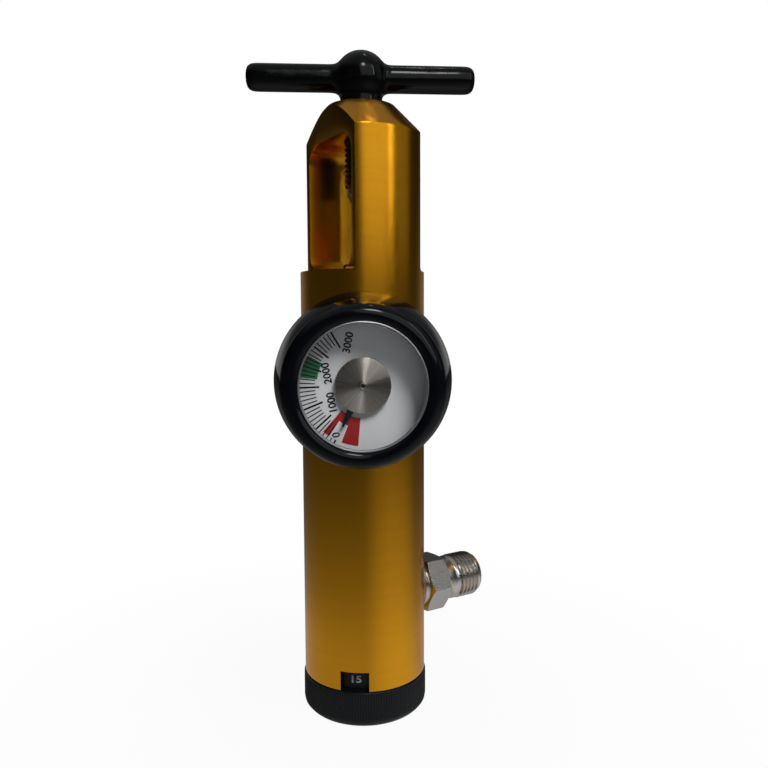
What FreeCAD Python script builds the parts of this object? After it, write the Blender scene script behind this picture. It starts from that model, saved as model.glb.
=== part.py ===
import FreeCAD, Part
import math
import os

import Sketcher

# Yoke oxygen regulator, in millimetres, +Z up.
# The origin is the centre of the face it stands on, under the flow knob.
# The gauge faces -Y, and the outlet points to +X and a little to the back.

SIZES = [
    ("knob_height", 10.8, "flow knob, from the face it stands on to its top edge"),
    ("knob_radius", 18.4, "flow knob, outside"),
    ("knob_round", 2.8, "rounding of the knob's lower edge"),
    ("knob_skirt_radius", 16.2, "drum on the knob that carries the flow numbers"),
    ("knob_skirt_height", 6.4, "drum above the knob's top edge"),
    ("knob_top_round", 0.4, "rounding of the knob's upper edge"),
    ("knob_core_radius", 7.0, "boss in the hollow underside of the knob"),
    ("knob_core_recess", 0.6, "end of the boss above the face the knob stands on"),
    ("knob_hollow_radius", 14.2, "hollow underside of the knob"),
    ("knob_hollow_depth", 4.5, "hollow underside of the knob"),
    ("rim_gap", 0.3, "gap between the knob and the barrel's lower rim"),
    ("barrel_radius", 18.25, "barrel, outside"),
    ("barrel_length", 167.0, "barrel, from its lower rim to the top face"),
    ("ledge_below_top", 47.4, "ledge where the yoke's flats begin"),
    ("cone_height", 8.5, "cone at the top"),
    ("crown_radius", 10.0, "flat top face inside the cone"),
    ("shoulder_round", 0.6, "rounding of the cone's lower edge"),
    ("rim_bore_radius", 16.6, "recess at the barrel's lower end"),
    ("rim_bore_depth", 6.9, "recess at the barrel's lower end"),
    ("notch_azimuth", 9.5, "sight notch, degrees to the left of the front"),
    ("notch_width", 8.3, "sight notch in the lower rim"),
    ("notch_height", 5.6, "sight notch in the lower rim"),
    ("yoke_azimuth", 60.0, "yoke window, degrees to the left of the front"),
    ("flat_half", 10.7, "barrel axis to each flat of the yoke"),
    ("flat_round", 1.2, "rounding where a flat meets the ledge"),
    ("window_width", 25.7, "window for the post valve"),
    ("bridge_height", 9.8, "metal over the window, up to the top face"),
    ("window_round", 5.5, "corners of the window"),
    ("edge_bevel", 0.5, "small bevels on turned edges"),
    ("thread_start", 0.6, "bevels at the ends of threads"),
    ("fit_gap", 0.05, "radial clearance of a running fit or a seated piece"),
    ("seat_gap", 0.05, "clearance between flat faces of moving pieces"),
    ("nipple_thread_radius", 4.9, "inlet nipple in the yoke floor"),
    ("nipple_radius", 3.4, "inlet nipple above the floor"),
    ("nipple_rise", 3.6, "inlet nipple above the floor"),
    ("nipple_depth", 8.0, "inlet nipple below the floor"),
    ("inlet_bore_radius", 1.25, "gas passage of the nipple"),
    ("filter_radius", 2.6, "sintered filter"),
    ("filter_height", 3.2, "sintered filter"),
    ("washer_radius", 5.6, "sealing washer round the nipple"),
    ("washer_height", 2.4, "sealing washer round the nipple"),
    ("pin_radius", 2.0, "index pins"),
    ("pin_step", 0.5, "index pins, step down to the shank in the barrel"),
    ("pin_circle", 14.3, "index pins, distance from the inlet's centre"),
    ("pin_spread", 18.0, "index pins, degrees each side of the middle"),
    ("pin_rise", 6.0, "index pins above the ledge"),
    ("pin_depth", 6.0, "index pins below the ledge"),
    ("passage_radius", 1.5, "gas passages in the barrel"),
    ("flow_bore_radius", 12.5, "bore for the flow head"),
    ("flow_head_height", 21.0, "flow head, without its rim"),
    ("flow_rim_height", 4.0, "rim of the flow head round the orifice plate"),
    ("flow_rim_wall", 1.6, "rim of the flow head round the orifice plate"),
    ("plate_height", 2.4, "orifice plate"),
    ("orifice_circle", 7.5, "radius of the ring of orifices and of the detents"),
    ("orifice_radius", 0.6, "orifices in the plate"),
    ("shaft_radius", 3.0, "selector shaft"),
    ("shaft_head_radius", 4.6, "head of the selector shaft"),
    ("shaft_head_height", 1.1, "head of the selector shaft"),
    ("shaft_depth", 7.0, "selector shaft inside the knob's drum"),
    ("ring_section", 0.7, "section radius of the sealing rings"),
    ("ring_groove", 1.7, "height of the grooves for the sealing rings"),
    ("shaft_ring_rise", 4.0, "groove of the shaft's ring above the flow head's foot"),
    ("flow_ring_spread", 6.0, "flow head's rings above and below the outlet"),
    ("channel_half", 2.0, "ring channel round the flow head, half its height"),
    ("channel_depth", 1.0, "ring channel round the flow head"),
    ("ball_radius", 1.5, "detent ball"),
    ("track_depth", 0.5, "ring track of the detents"),
    ("detent_depth", 0.4, "detents in the track"),
    ("ball_bore_depth", 8.0, "bore of the detent ball and spring"),
    ("detent_wire_radius", 0.25, "detent spring"),
    ("detent_spring_turns", 5.0, "detent spring"),
    ("stop_pin_radius", 1.0, "stop pin of the flow knob"),
    ("stop_circle", 10.6, "stop pin, distance from the axis"),
    ("stop_reach", 1.6, "stop pin below the flow head"),
    ("stop_pin_length", 4.6, "stop pin"),
    ("stop_side", 7.0, "stop slot beyond the middle of the pin, degrees"),
    ("stop_turn", 330.0, "turn of the flow knob from one end to the other"),
    ("screw_radius", 1.5, "knob screw"),
    ("screw_head_radius", 2.8, "knob screw"),
    ("screw_head_height", 1.7, "knob screw"),
    ("screw_depth", 1.2, "knob screw's head above the face the knob stands on"),
    ("screw_length", 12.0, "knob screw without its head"),
    ("screw_socket", 1.15, "hexagon socket of the knob screw, to its corners"),
    ("screw_socket_depth", 1.2, "hexagon socket of the knob screw"),
    ("piston_radius", 11.5, "piston head"),
    ("piston_height", 7.0, "piston head"),
    ("piston_travel", 1.2, "piston, from open to shut"),
    ("stem_radius", 2.5, "piston stem"),
    ("stem_length", 32.0, "piston stem above its head"),
    ("stem_bore_radius", 0.8, "gas passage of the stem"),
    ("seat_radius", 1.6, "soft seat in the stem's tip"),
    ("seat_height", 1.8, "soft seat in the stem's tip"),
    ("seat_proud", 0.3, "soft seat above the stem's tip"),
    ("spring_chamber_radius", 10.0, "spring chamber"),
    ("spring_chamber_height", 20.0, "main spring, from its seat to the piston head"),
    ("spring_radius", 8.0, "main spring, centre of the wire"),
    ("spring_wire_radius", 0.9, "main spring"),
    ("spring_turns", 5.0, "main spring"),
    ("nozzle_radius", 5.5, "seat nozzle"),
    ("nozzle_height", 16.0, "seat nozzle"),
    ("nozzle_bore_radius", 0.9, "orifice of the seat nozzle"),
    ("vent_radius", 0.8, "vent of the spring chamber"),
    ("outlet_above_rim", 21.5, "outlet's axis"),
    ("outlet_azimuth", 30.0, "outlet, degrees from +X to the back"),
    ("outlet_shank_radius", 5.4, "outlet's shank in the barrel"),
    ("outlet_spot_radius", 7.7, "spot face round the outlet"),
    ("outlet_spot_reach", 16.6, "spot face, distance from the barrel's axis"),
    ("outlet_washer_radius", 7.4, "sealing washer of the outlet"),
    ("outlet_washer_height", 1.5, "sealing washer of the outlet"),
    ("outlet_collar_radius", 7.2, "round collar behind the hexagon"),
    ("outlet_collar_length", 1.6, "round collar behind the hexagon"),
    ("hexagon_width", 15.9, "outlet hexagon across its flats"),
    ("hexagon_length", 7.6, "outlet hexagon"),
    ("hexagon_bevel", 1.0, "outlet hexagon, corners turned down"),
    ("outlet_neck_radius", 5.7, "neck of the outlet"),
    ("outlet_neck_length", 1.3, "neck of the outlet"),
    ("outlet_band_radius", 6.8, "plain band before the outlet thread"),
    ("outlet_band_length", 2.5, "plain band before the outlet thread"),
    ("outlet_thread_radius", 7.144, "outlet thread, 9/16 inch"),
    ("outlet_thread_length", 9.8, "outlet thread"),
    ("outlet_tip_length", 1.6, "bevel at the outlet's end"),
    ("outlet_tip_depth", 0.9, "bevel at the outlet's end"),
    ("outlet_bore_radius", 3.3, "socket in the outlet's end"),
    ("outlet_bore_depth", 9.0, "socket in the outlet's end"),
    ("gauge_above_rim", 89.35, "gauge's axis"),
    ("gauge_shank_radius", 4.9, "gauge's shank in the barrel"),
    ("gauge_shank_depth", 9.5, "gauge's shank in the barrel"),
    ("gauge_standoff", 2.3, "barrel to the gauge's back"),
    ("gauge_collar_radius", 7.0, "collar of the gauge's socket"),
    ("gauge_block_radius", 6.5, "socket inside the case"),
    ("gauge_block_height", 4.5, "socket inside the case"),
    ("case_back_radius", 23.7, "case at its back"),
    ("case_front_radius", 20.4, "case at its front"),
    ("case_depth", 20.4, "case, from back to front"),
    ("case_edge", 2.2, "rounded back edge of the case"),
    ("case_wall", 1.5, "back wall of the case"),
    ("case_front_wall", 2.9, "wall of the case at its front"),
    ("dial_depth", 2.4, "dial below the front of the case"),
    ("dial_step", 0.9, "step in the case that carries the dial"),
    ("dial_thickness", 0.4, "dial"),
    ("dial_hole_radius", 1.2, "dial"),
    ("bezel_depth", 5.0, "bezel in front of the case"),
    ("bezel_slope", 2.2, "bezel, narrower at its flat front"),
    ("bezel_cover", 1.8, "bezel over the edge of the lens"),
    ("bezel_edge", 0.3, "small bevels of the bezel"),
    ("bezel_lip", 1.0, "lip of the bezel over the lens"),
    ("lens_thickness", 1.2, "lens"),
    ("gasket_thickness", 0.5, "gasket between lens and bezel"),
    ("dial_ring_wall", 1.0, "spacer ring between dial and lens"),
    ("pointer_radius", 6.9, "spun disc of the pointer"),
    ("pointer_thickness", 0.4, "pointer"),
    ("pointer_dish", 0.3, "pointer, height of its dished middle"),
    ("pointer_reach", 11.6, "tip of the pointer from its axis"),
    ("pointer_width", 1.9, "tip of the pointer at the disc"),
    ("pointer_rest", 243.0, "pointer at rest, degrees from the right"),
    ("pointer_gap", 1.0, "pointer above the dial"),
    ("arbor_radius", 0.6, "arbor of the pointer"),
    ("arbor_cap_radius", 1.1, "cap of the arbor"),
    ("arbor_cap_height", 0.5, "cap of the arbor"),
    ("arbor_depth", 2.5, "arbor inside the socket block"),
    ("coil_radius", 4.6, "pressure coil, centre of the tube"),
    ("coil_tube_radius", 0.7, "pressure coil"),
    ("coil_turns", 3.0, "pressure coil"),
    ("clamp_radius", 4.95, "clamp screw"),
    ("clamp_reach", 23.2, "thread of the clamp screw below the top face"),
    ("clamp_pilot_radius", 2.4, "pilot under the clamp screw's thread"),
    ("clamp_pilot_length", 3.6, "pilot under the clamp screw's thread"),
    ("tip_radius", 4.3, "thrust tip, top"),
    ("tip_end_radius", 3.0, "thrust tip, end"),
    ("tip_length", 5.2, "thrust tip"),
    ("tip_band", 1.5, "straight part of the thrust tip"),
    ("handle_gap", 0.4, "handle above the top face"),
    ("handle_rise", 8.4, "bar's axis above the top face"),
    ("handle_azimuth", -2.0, "bar, degrees to the front at its right end"),
    ("handle_length", 66.4, "bar with its coating"),
    ("handle_radius", 3.95, "bar with its coating"),
    ("handle_end_round", 1.7, "coating at the bar's ends"),
    ("hub_radius", 8.0, "hub with its coating"),
    ("hub_neck_radius", 6.0, "neck of the hub with its coating"),
    ("hub_blend", 2.6, "rounding between hub and bar"),
    ("clamp_head_radius", 5.2, "head of the clamp screw inside the coating"),
    ("clamp_head_over", 5.2, "head of the clamp screw above the bar's axis"),
    ("cross_bar_radius", 2.9, "bar inside the coating"),
    ("cross_bar_cover", 2.0, "coating beyond each end of the bar"),
]


class Size:
    """A length or angle that is both a number and an expression on the sheet."""

    def __init__(self, text, value):
        self.text = text
        self.value = value

    def __add__(self, other):
        other = as_size(other)
        return Size(f"({self.text} + {other.text})", self.value + other.value)

    def __sub__(self, other):
        other = as_size(other)
        return Size(f"({self.text} - {other.text})", self.value - other.value)

    def __mul__(self, factor):
        factor = as_size(factor)
        return Size(f"({self.text} * {factor.text})", self.value * factor.value)

    def __truediv__(self, divisor):
        divisor = as_size(divisor)
        return Size(f"({self.text} / {divisor.text})", self.value / divisor.value)

    def __neg__(self):
        return Size(f"(0 - {self.text})", -self.value)


def as_size(number):
    return number if isinstance(number, Size) else Size(str(number), float(number))


def cosine(angle):
    return Size(f"cos({angle.text})", math.cos(math.radians(angle.value)))


def sine(angle):
    return Size(f"sin({angle.text})", math.sin(math.radians(angle.value)))


doc = FreeCAD.newDocument("OxygenRegulator")
sheet = doc.addObject("Spreadsheet::Sheet", "Sizes")
for row, (alias, number, note) in enumerate(SIZES, start=1):
    sheet.set(f"A{row}", note)
    sheet.set(f"B{row}", str(number))
    sheet.setAlias(f"B{row}", alias)
doc.recompute()
dim = {alias: Size(f"Sizes.{alias}", float(number)) for alias, number, note in SIZES}
ZERO = Size("0", 0.0)
FLOW_STEPS = 12
PIECES = []

# Levels along the barrel's axis, from the bottom up.
RIM = dim["knob_height"] + dim["rim_gap"]
DRUM_TOP = dim["knob_height"] + dim["knob_skirt_height"]
DECK = RIM + dim["rim_bore_depth"]
PLATE_SEAT = DECK + dim["flow_head_height"]
FLOW_TOP = PLATE_SEAT + dim["flow_rim_height"]
PLATE_BOTTOM = PLATE_SEAT + dim["seat_gap"]
PLATE_TOP = PLATE_BOTTOM + dim["plate_height"]
PISTON_BOTTOM = FLOW_TOP + dim["seat_gap"]
PISTON_TOP = PISTON_BOTTOM + dim["piston_height"]
PISTON_STOP = PISTON_TOP + dim["piston_travel"] + dim["seat_gap"]
SPRING_SEAT = PISTON_TOP + dim["spring_chamber_height"]
STEM_TOP = PISTON_TOP + dim["stem_length"]
NOZZLE_FACE = STEM_TOP + dim["seat_proud"] + dim["piston_travel"] + dim["seat_gap"]
NOZZLE_TOP = SPRING_SEAT + dim["nozzle_height"]
GAUGE_LEVEL = RIM + dim["gauge_above_rim"]
OUTLET_LEVEL = RIM + dim["outlet_above_rim"]
TOP = RIM + dim["barrel_length"]
LEDGE = TOP - dim["ledge_below_top"]
NIPPLE_BOTTOM = LEDGE - dim["nipple_depth"]
SHOULDER = TOP - dim["cone_height"]
CEILING = TOP - dim["bridge_height"]
BAR_LEVEL = TOP + dim["handle_rise"]
THREAD_END = TOP - dim["clamp_reach"]
SCREW_SEAT = dim["screw_depth"] + dim["screw_head_height"]
SCREW_TOP = SCREW_SEAT + dim["screw_length"]

# Distances from the barrel's axis along the gauge's axis.
GAUGE_SHANK_END = dim["barrel_radius"] - dim["gauge_shank_depth"]
CASE_BACK = dim["barrel_radius"] + dim["gauge_standoff"]
CASE_FLOOR = CASE_BACK + dim["case_wall"]
BLOCK_TOP = CASE_FLOOR + dim["gauge_block_height"]
CASE_FRONT = CASE_BACK + dim["case_depth"]
DIAL_BACK = CASE_FRONT - dim["dial_depth"]
DIAL_FACE = DIAL_BACK + dim["dial_thickness"]
BEZEL_FRONT = CASE_FRONT + dim["bezel_depth"]
GASKET_FRONT = BEZEL_FRONT - dim["bezel_lip"]
LENS_FRONT = GASKET_FRONT - dim["gasket_thickness"]
LENS_BACK = LENS_FRONT - dim["lens_thickness"]
POINTER_BACK = DIAL_FACE + dim["pointer_gap"]
POINTER_FACE = POINTER_BACK + dim["pointer_thickness"]

# Distances from the barrel's axis along the outlet's axis.
OUTLET_INNER = dim["flow_bore_radius"] + dim["fit_gap"] * 2
WASHER_FRONT = dim["outlet_spot_reach"] + dim["outlet_washer_height"]
HEXAGON_BACK = WASHER_FRONT + dim["outlet_collar_length"]
HEXAGON_FRONT = HEXAGON_BACK + dim["hexagon_length"]
OUTLET_BAND_BACK = HEXAGON_FRONT + dim["outlet_neck_length"]
OUTLET_THREAD_BACK = OUTLET_BAND_BACK + dim["outlet_band_length"]
OUTLET_END = OUTLET_THREAD_BACK + dim["outlet_thread_length"]
OUTLET_BEVEL = OUTLET_END - dim["outlet_tip_length"]

# Radii of the gauge that follow from its front.
CASE_BORE = dim["case_front_radius"] - dim["case_front_wall"]
BEZEL_FACE = dim["case_front_radius"] - dim["bezel_slope"]
BEZEL_OPENING = CASE_BORE - dim["bezel_cover"]


def bind(feature, **sizes):
    """Tie properties of a feature to the sheet, by name."""
    for prop, size in sizes.items():
        feature.setExpression(prop, as_size(size).text)


def place(piece, x=ZERO, y=ZERO, z=ZERO, yaw=ZERO, roll=ZERO):
    """Place a piece: rolled about X, then turned about Z, then moved."""
    where = f"create(<<vector>>; {x.text}; {y.text}; {z.text})"
    turned_by = f"create(<<rotation>>; {yaw.text}; 0; {roll.text})"
    piece.setExpression("Placement", f"create(<<placement>>; {where}; {turned_by})")


def place_on_gauge(piece):
    """Local +Z runs out of the barrel to the front, along the gauge's axis."""
    place(piece, z=GAUGE_LEVEL, roll=as_size(90))


def place_on_outlet(piece):
    """Local +Z runs out of the barrel along the outlet's axis."""
    place(piece, z=OUTLET_LEVEL, yaw=dim["outlet_azimuth"] + 90, roll=as_size(90))


def new_body(label):
    body = doc.addObject("PartDesign::Body", label)
    body.Label = label
    PIECES.append(body)
    return body


def origin_plane(body, role):
    return [feature for feature in body.Origin.OriginFeatures if feature.Role == role][0]


def new_sketch(body, name, role, turn=None, lift=None):
    """A sketch on an origin plane; turned about the body's Z axis, or lifted off the plane."""
    sketch = body.newObject("Sketcher::SketchObject", name)
    sketch.AttachmentSupport = [(origin_plane(body, role), "")]
    sketch.MapMode = "FlatFace"
    about = FreeCAD.Vector(0, 1, 0) if role == "XZ_Plane" else FreeCAD.Vector(0, 0, 1)
    turn = ZERO if turn is None else turn
    lift = ZERO if lift is None else lift
    if role == "XZ_Plane":
        offset = (lift * sine(turn), ZERO, lift * cosine(turn))
    else:
        offset = (ZERO, ZERO, lift)
    base = "; ".join(size.text for size in offset)
    direction = f"create(<<vector>>; {about.x}; {about.y}; {about.z})"
    spin = f"create(<<rotation>>; {direction}; {turn.text})"
    sketch.setExpression(
        "AttachmentOffset", f"create(<<placement>>; create(<<vector>>; {base}); {spin})")
    return sketch


def fix_point(sketch, curve, corner, across, up):
    """Hold one point of a curve at (across, up) from the sketch's origin."""
    if across is ZERO:
        sketch.addConstraint(Sketcher.Constraint("PointOnObject", curve, corner, -2))
    else:
        index = sketch.addConstraint(
            Sketcher.Constraint("DistanceX", -1, 1, curve, corner, across.value))
        sketch.setExpression(f"Constraints[{index}]", across.text)
    if up is ZERO:
        sketch.addConstraint(Sketcher.Constraint("PointOnObject", curve, corner, -1))
    else:
        index = sketch.addConstraint(
            Sketcher.Constraint("DistanceY", -1, 1, curve, corner, up.value))
        sketch.setExpression(f"Constraints[{index}]", up.text)


def draw_loop(sketch, points):
    """Draw a closed outline of straight lines through points of two sizes each."""
    corners = [(as_size(across), as_size(up)) for across, up in points]
    corners = [tuple(ZERO if size.text == "0" else size for size in pair) for pair in corners]
    spots = [FreeCAD.Vector(across.value, up.value, 0) for across, up in corners]
    first = sketch.GeometryCount
    count = len(spots)
    lines = [Part.LineSegment(spots[i], spots[(i + 1) % count]) for i in range(count)]
    sketch.addGeometry(lines, False)
    for i in range(count):
        following = first + (i + 1) % count
        sketch.addConstraint(Sketcher.Constraint("Coincident", first + i, 2, following, 1))
    for i, (across, up) in enumerate(corners):
        fix_point(sketch, first + i, 1, across, up)


def draw_circle(sketch, across, up, radius):
    across, up, radius = as_size(across), as_size(up), as_size(radius)
    across = ZERO if across.text == "0" else across
    up = ZERO if up.text == "0" else up
    middle = FreeCAD.Vector(across.value, up.value, 0)
    curve = sketch.addGeometry(Part.Circle(middle, FreeCAD.Vector(0, 0, 1), radius.value), False)
    index = sketch.addConstraint(Sketcher.Constraint("Radius", curve, radius.value))
    sketch.setExpression(f"Constraints[{index}]", radius.text)
    fix_point(sketch, curve, 3, across, up)


def revolve(body, name, points, kind="PartDesign::Revolution", angle=as_size(360), turn=None):
    """Revolve an outline of (radius, height) points about the body's Z axis."""
    sketch = new_sketch(body, name + "Profile", "XZ_Plane", turn)
    draw_loop(sketch, points)
    feature = body.newObject(kind, name)
    feature.Profile = sketch
    feature.ReferenceAxis = (sketch, ["V_Axis"])
    bind(feature, Angle=angle)
    return feature


def turned(label, points):
    """A piece turned about its own Z axis."""
    body = new_body(label)
    revolve(body, "Turned", points)
    return body


def pocket(body, name, sketch, length=None, both=False, reverse=False):
    """Cut a sketch out of a body, and check that something was cut."""
    doc.recompute()
    before = body.Shape.Volume
    feature = body.newObject("PartDesign::Pocket", name)
    feature.Profile = sketch
    feature.Midplane = both
    feature.Reversed = reverse
    bind(feature, Length=length)
    doc.recompute()
    if body.Shape.Volume >= before:
        raise RuntimeError(f"{name} of {body.Label} cuts nothing")
    return feature


def round_edges(body, name, radius, chosen, kind="PartDesign::Fillet"):
    """Round or bevel the edges of a body that the test picks."""
    doc.recompute()
    base = body.Tip
    names = [f"Edge{i}" for i, edge in enumerate(base.Shape.Edges, start=1) if chosen(edge)]
    if not names:
        raise RuntimeError(f"{name} of {body.Label} finds no edge")
    feature = body.newObject(kind, name)
    feature.Base = (base, names)
    if kind == "PartDesign::Fillet":
        bind(feature, Radius=radius)
    else:
        bind(feature, Size=radius)
    return feature


def near(one, other, slack=0.02):
    return abs(one - other) < slack


def is_curve(edge, kind):
    """True for an edge of this kind; the point at a sphere's pole has no curve."""
    return not edge.Degenerated and isinstance(edge.Curve, kind)


def is_ring(edge, radius, level):
    """True for a full circle about the Z axis with this radius at this height."""
    if not is_curve(edge, Part.Circle):
        return False
    curve = edge.Curve
    return near(curve.Radius, radius.value) and near(curve.Center.z, level.value)


def add_piece(kind, label, **sizes):
    """A piece that is one primitive, its sizes tied to the sheet."""
    piece = doc.addObject(kind, label)
    piece.Label = label
    bind(piece, **sizes)
    PIECES.append(piece)
    return piece


def coil(label, radius, wire, height, turns):
    """A round wire wound about the Z axis, from height zero up."""
    body = new_body(label)
    sketch = new_sketch(body, "WireSection", "XZ_Plane")
    draw_circle(sketch, radius, wire, wire)
    helix = body.newObject("PartDesign::AdditiveHelix", "Winding")
    helix.Profile = sketch
    helix.ReferenceAxis = (sketch, ["V_Axis"])
    helix.Mode = "height-turns-angle"
    bind(helix, Height=height - wire * 2, Turns=turns)
    return body


def ring(label, radius, section, level):
    """A sealing ring round the Z axis; radius is that of the section's centre."""
    piece = add_piece("Part::Torus", label, Radius1=radius, Radius2=section)
    place(piece, z=level)
    return piece


# The barrel and yoke, one piece turned from bar.
def make_barrel():
    outer, gap = dim["barrel_radius"], dim["fit_gap"]
    flow_bore = dim["flow_bore_radius"] + gap
    piston_bore = dim["piston_radius"] + gap
    nozzle_bore = dim["nozzle_radius"] + gap
    nipple_bore = dim["nipple_thread_radius"] + gap
    body = new_body("barrel")
    revolve(body, "Turning", [
        (dim["rim_bore_radius"], RIM), (outer, RIM), (outer, SHOULDER),
        (dim["crown_radius"], TOP), (0, TOP), (0, LEDGE), (nipple_bore, LEDGE),
        (nipple_bore, NIPPLE_BOTTOM), (dim["passage_radius"], NIPPLE_BOTTOM),
        (dim["passage_radius"], NOZZLE_TOP), (nozzle_bore, NOZZLE_TOP), (nozzle_bore, SPRING_SEAT),
        (dim["spring_chamber_radius"], SPRING_SEAT), (dim["spring_chamber_radius"], PISTON_STOP),
        (piston_bore, PISTON_STOP), (piston_bore, FLOW_TOP), (flow_bore, FLOW_TOP),
        (flow_bore, DECK), (dim["rim_bore_radius"], DECK)])

    flats = new_sketch(body, "FlatsOutline", "XY_Plane", -dim["yoke_azimuth"], LEDGE)
    for side in (1, -1):
        near_side, far_side = dim["flat_half"] * side, (outer + 1) * side
        wide = outer + 1
        draw_loop(flats, [(-wide, near_side), (wide, near_side), (wide, far_side),
                          (-wide, far_side)])
    pocket(body, "Flats", flats, TOP - LEDGE + 1, reverse=True)

    window = new_sketch(body, "WindowOutline", "XZ_Plane", -dim["yoke_azimuth"])
    half = dim["window_width"] / 2
    draw_loop(window, [(-half, LEDGE), (half, LEDGE), (half, CEILING), (-half, CEILING)])
    pocket(body, "Window", window, outer * 2 + 2, both=True)

    azimuth = math.radians(dim["yoke_azimuth"].value)
    through = FreeCAD.Vector(-math.sin(azimuth), -math.cos(azimuth), 0)
    across = FreeCAD.Vector(math.cos(azimuth), -math.sin(azimuth), 0)

    def window_corner(edge):
        if not is_curve(edge, Part.Line):
            return False
        middle = edge.CenterOfMass
        along = abs(edge.Curve.Direction.dot(through)) > 0.999
        at_side = near(abs(middle.dot(across)), half.value)
        return along and at_side and middle.z > LEDGE.value - 1

    round_edges(body, "WindowCorners", dim["window_round"], window_corner)

    def flat_foot(edge):
        if not is_curve(edge, Part.Line):
            return False
        middle = edge.CenterOfMass
        along = abs(edge.Curve.Direction.dot(across)) > 0.999
        at_flat = near(abs(middle.dot(through)), dim["flat_half"].value)
        at_side = abs(middle.dot(across)) > half.value - 1
        return along and at_flat and at_side and near(middle.z, LEDGE.value)

    round_edges(body, "FlatFeet", dim["flat_round"], flat_foot)
    round_edges(body, "ShoulderRound", dim["shoulder_round"],
                lambda edge: is_ring(edge, outer, SHOULDER))

    notch = new_sketch(body, "NotchOutline", "XZ_Plane", -dim["notch_azimuth"])
    side, low, high = dim["notch_width"] / 2, RIM - 1, RIM + dim["notch_height"]
    draw_loop(notch, [(-side, low), (side, low), (side, high), (-side, high)])
    pocket(body, "Notch", notch, outer + 1, reverse=True)

    clamp_hole = new_sketch(body, "ClampHoleOutline", "XY_Plane", lift=TOP)
    draw_circle(clamp_hole, 0, 0, dim["clamp_radius"] + gap)
    pocket(body, "ClampHole", clamp_hole, dim["bridge_height"] * 1.5)

    pin_holes = new_sketch(body, "PinHolesOutline", "XY_Plane", lift=LEDGE)
    for side in (1, -1):
        x, y = pin_position(side)
        draw_circle(pin_holes, x, y, dim["pin_radius"] - dim["pin_step"] + gap)
    pocket(body, "PinHoles", pin_holes, dim["pin_depth"])

    gauge_port = new_sketch(body, "GaugePortOutline", "XZ_Plane", lift=GAUGE_SHANK_END)
    draw_circle(gauge_port, 0, GAUGE_LEVEL, dim["gauge_shank_radius"] + gap)
    pocket(body, "GaugePort", gauge_port, outer, reverse=True)
    gauge_feed = new_sketch(body, "GaugeFeedOutline", "XZ_Plane")
    draw_circle(gauge_feed, 0, GAUGE_LEVEL, dim["passage_radius"] * 0.8)
    pocket(body, "GaugeFeed", gauge_feed, outer, reverse=True)

    vent = new_sketch(body, "VentOutline", "XZ_Plane")
    draw_circle(vent, 0, (PISTON_STOP + SPRING_SEAT) / 2, dim["vent_radius"])
    pocket(body, "Vent", vent, outer + 1)

    outlet_turn = dim["outlet_azimuth"] + 90
    outlet_port = new_sketch(body, "OutletPortOutline", "XZ_Plane", outlet_turn)
    draw_circle(outlet_port, 0, OUTLET_LEVEL, dim["outlet_shank_radius"] + gap)
    pocket(body, "OutletPort", outlet_port, outer, reverse=True)
    spot = new_sketch(body, "SpotFaceOutline", "XZ_Plane", outlet_turn, dim["outlet_spot_reach"])
    draw_circle(spot, 0, OUTLET_LEVEL, dim["outlet_spot_radius"])
    pocket(body, "SpotFace", spot, outer, reverse=True)
    return body


def pin_position(side):
    """Centre of an index pin: on its circle, behind the yoke window, left or right."""
    angle = as_size(90) - dim["yoke_azimuth"] + dim["pin_spread"] * side
    return dim["pin_circle"] * cosine(angle), dim["pin_circle"] * sine(angle)


# The inlet, in the floor of the yoke.
def make_inlet():
    bore, spigot = dim["inlet_bore_radius"], dim["nipple_radius"]
    thread, end = dim["nipple_thread_radius"], LEDGE + dim["nipple_rise"]
    bottom = NIPPLE_BOTTOM + dim["seat_gap"]
    pocket_radius = dim["filter_radius"] + dim["fit_gap"]
    pocket_top = bottom + dim["filter_height"]
    bevel = dim["edge_bevel"]
    turned("inlet_nipple", [
        (pocket_radius, bottom), (thread, bottom), (thread, LEDGE), (spigot, LEDGE),
        (spigot, end - bevel), (spigot - bevel, end), (bore, end), (bore, pocket_top),
        (pocket_radius, pocket_top)])
    inlet_filter = add_piece("Part::Cylinder", "inlet_filter", Radius=dim["filter_radius"],
                             Height=dim["filter_height"])
    place(inlet_filter, z=bottom)
    inner, crown = spigot + dim["fit_gap"], dim["washer_height"] / 6
    washer_top = LEDGE + dim["washer_height"]
    turned("sealing_washer", [
        (inner, LEDGE), (dim["washer_radius"] - crown, LEDGE), (dim["washer_radius"], LEDGE + crown),
        (dim["washer_radius"], washer_top - crown), (dim["washer_radius"] - crown, washer_top),
        (inner, washer_top)])


def make_index_pins():
    body = new_body("index_pins")
    low = LEDGE - dim["pin_depth"]
    shank = dim["pin_radius"] - dim["pin_step"]
    for name, radius, level, height in (("Shanks", shank, low, dim["pin_depth"]),
                                        ("Pins", dim["pin_radius"], LEDGE, dim["pin_rise"])):
        outline = new_sketch(body, name + "Outline", "XY_Plane", lift=level)
        for side in (1, -1):
            x, y = pin_position(side)
            draw_circle(outline, x, y, radius)
        pad = body.newObject("PartDesign::Pad", name)
        pad.Profile = outline
        bind(pad, Length=height)
    top = LEDGE + dim["pin_rise"]

    def pin_end(edge):
        return is_curve(edge, Part.Circle) and near(edge.Curve.Center.z, top.value)

    round_edges(body, "PinEnds", dim["pin_radius"] / 3, pin_end)


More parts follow.
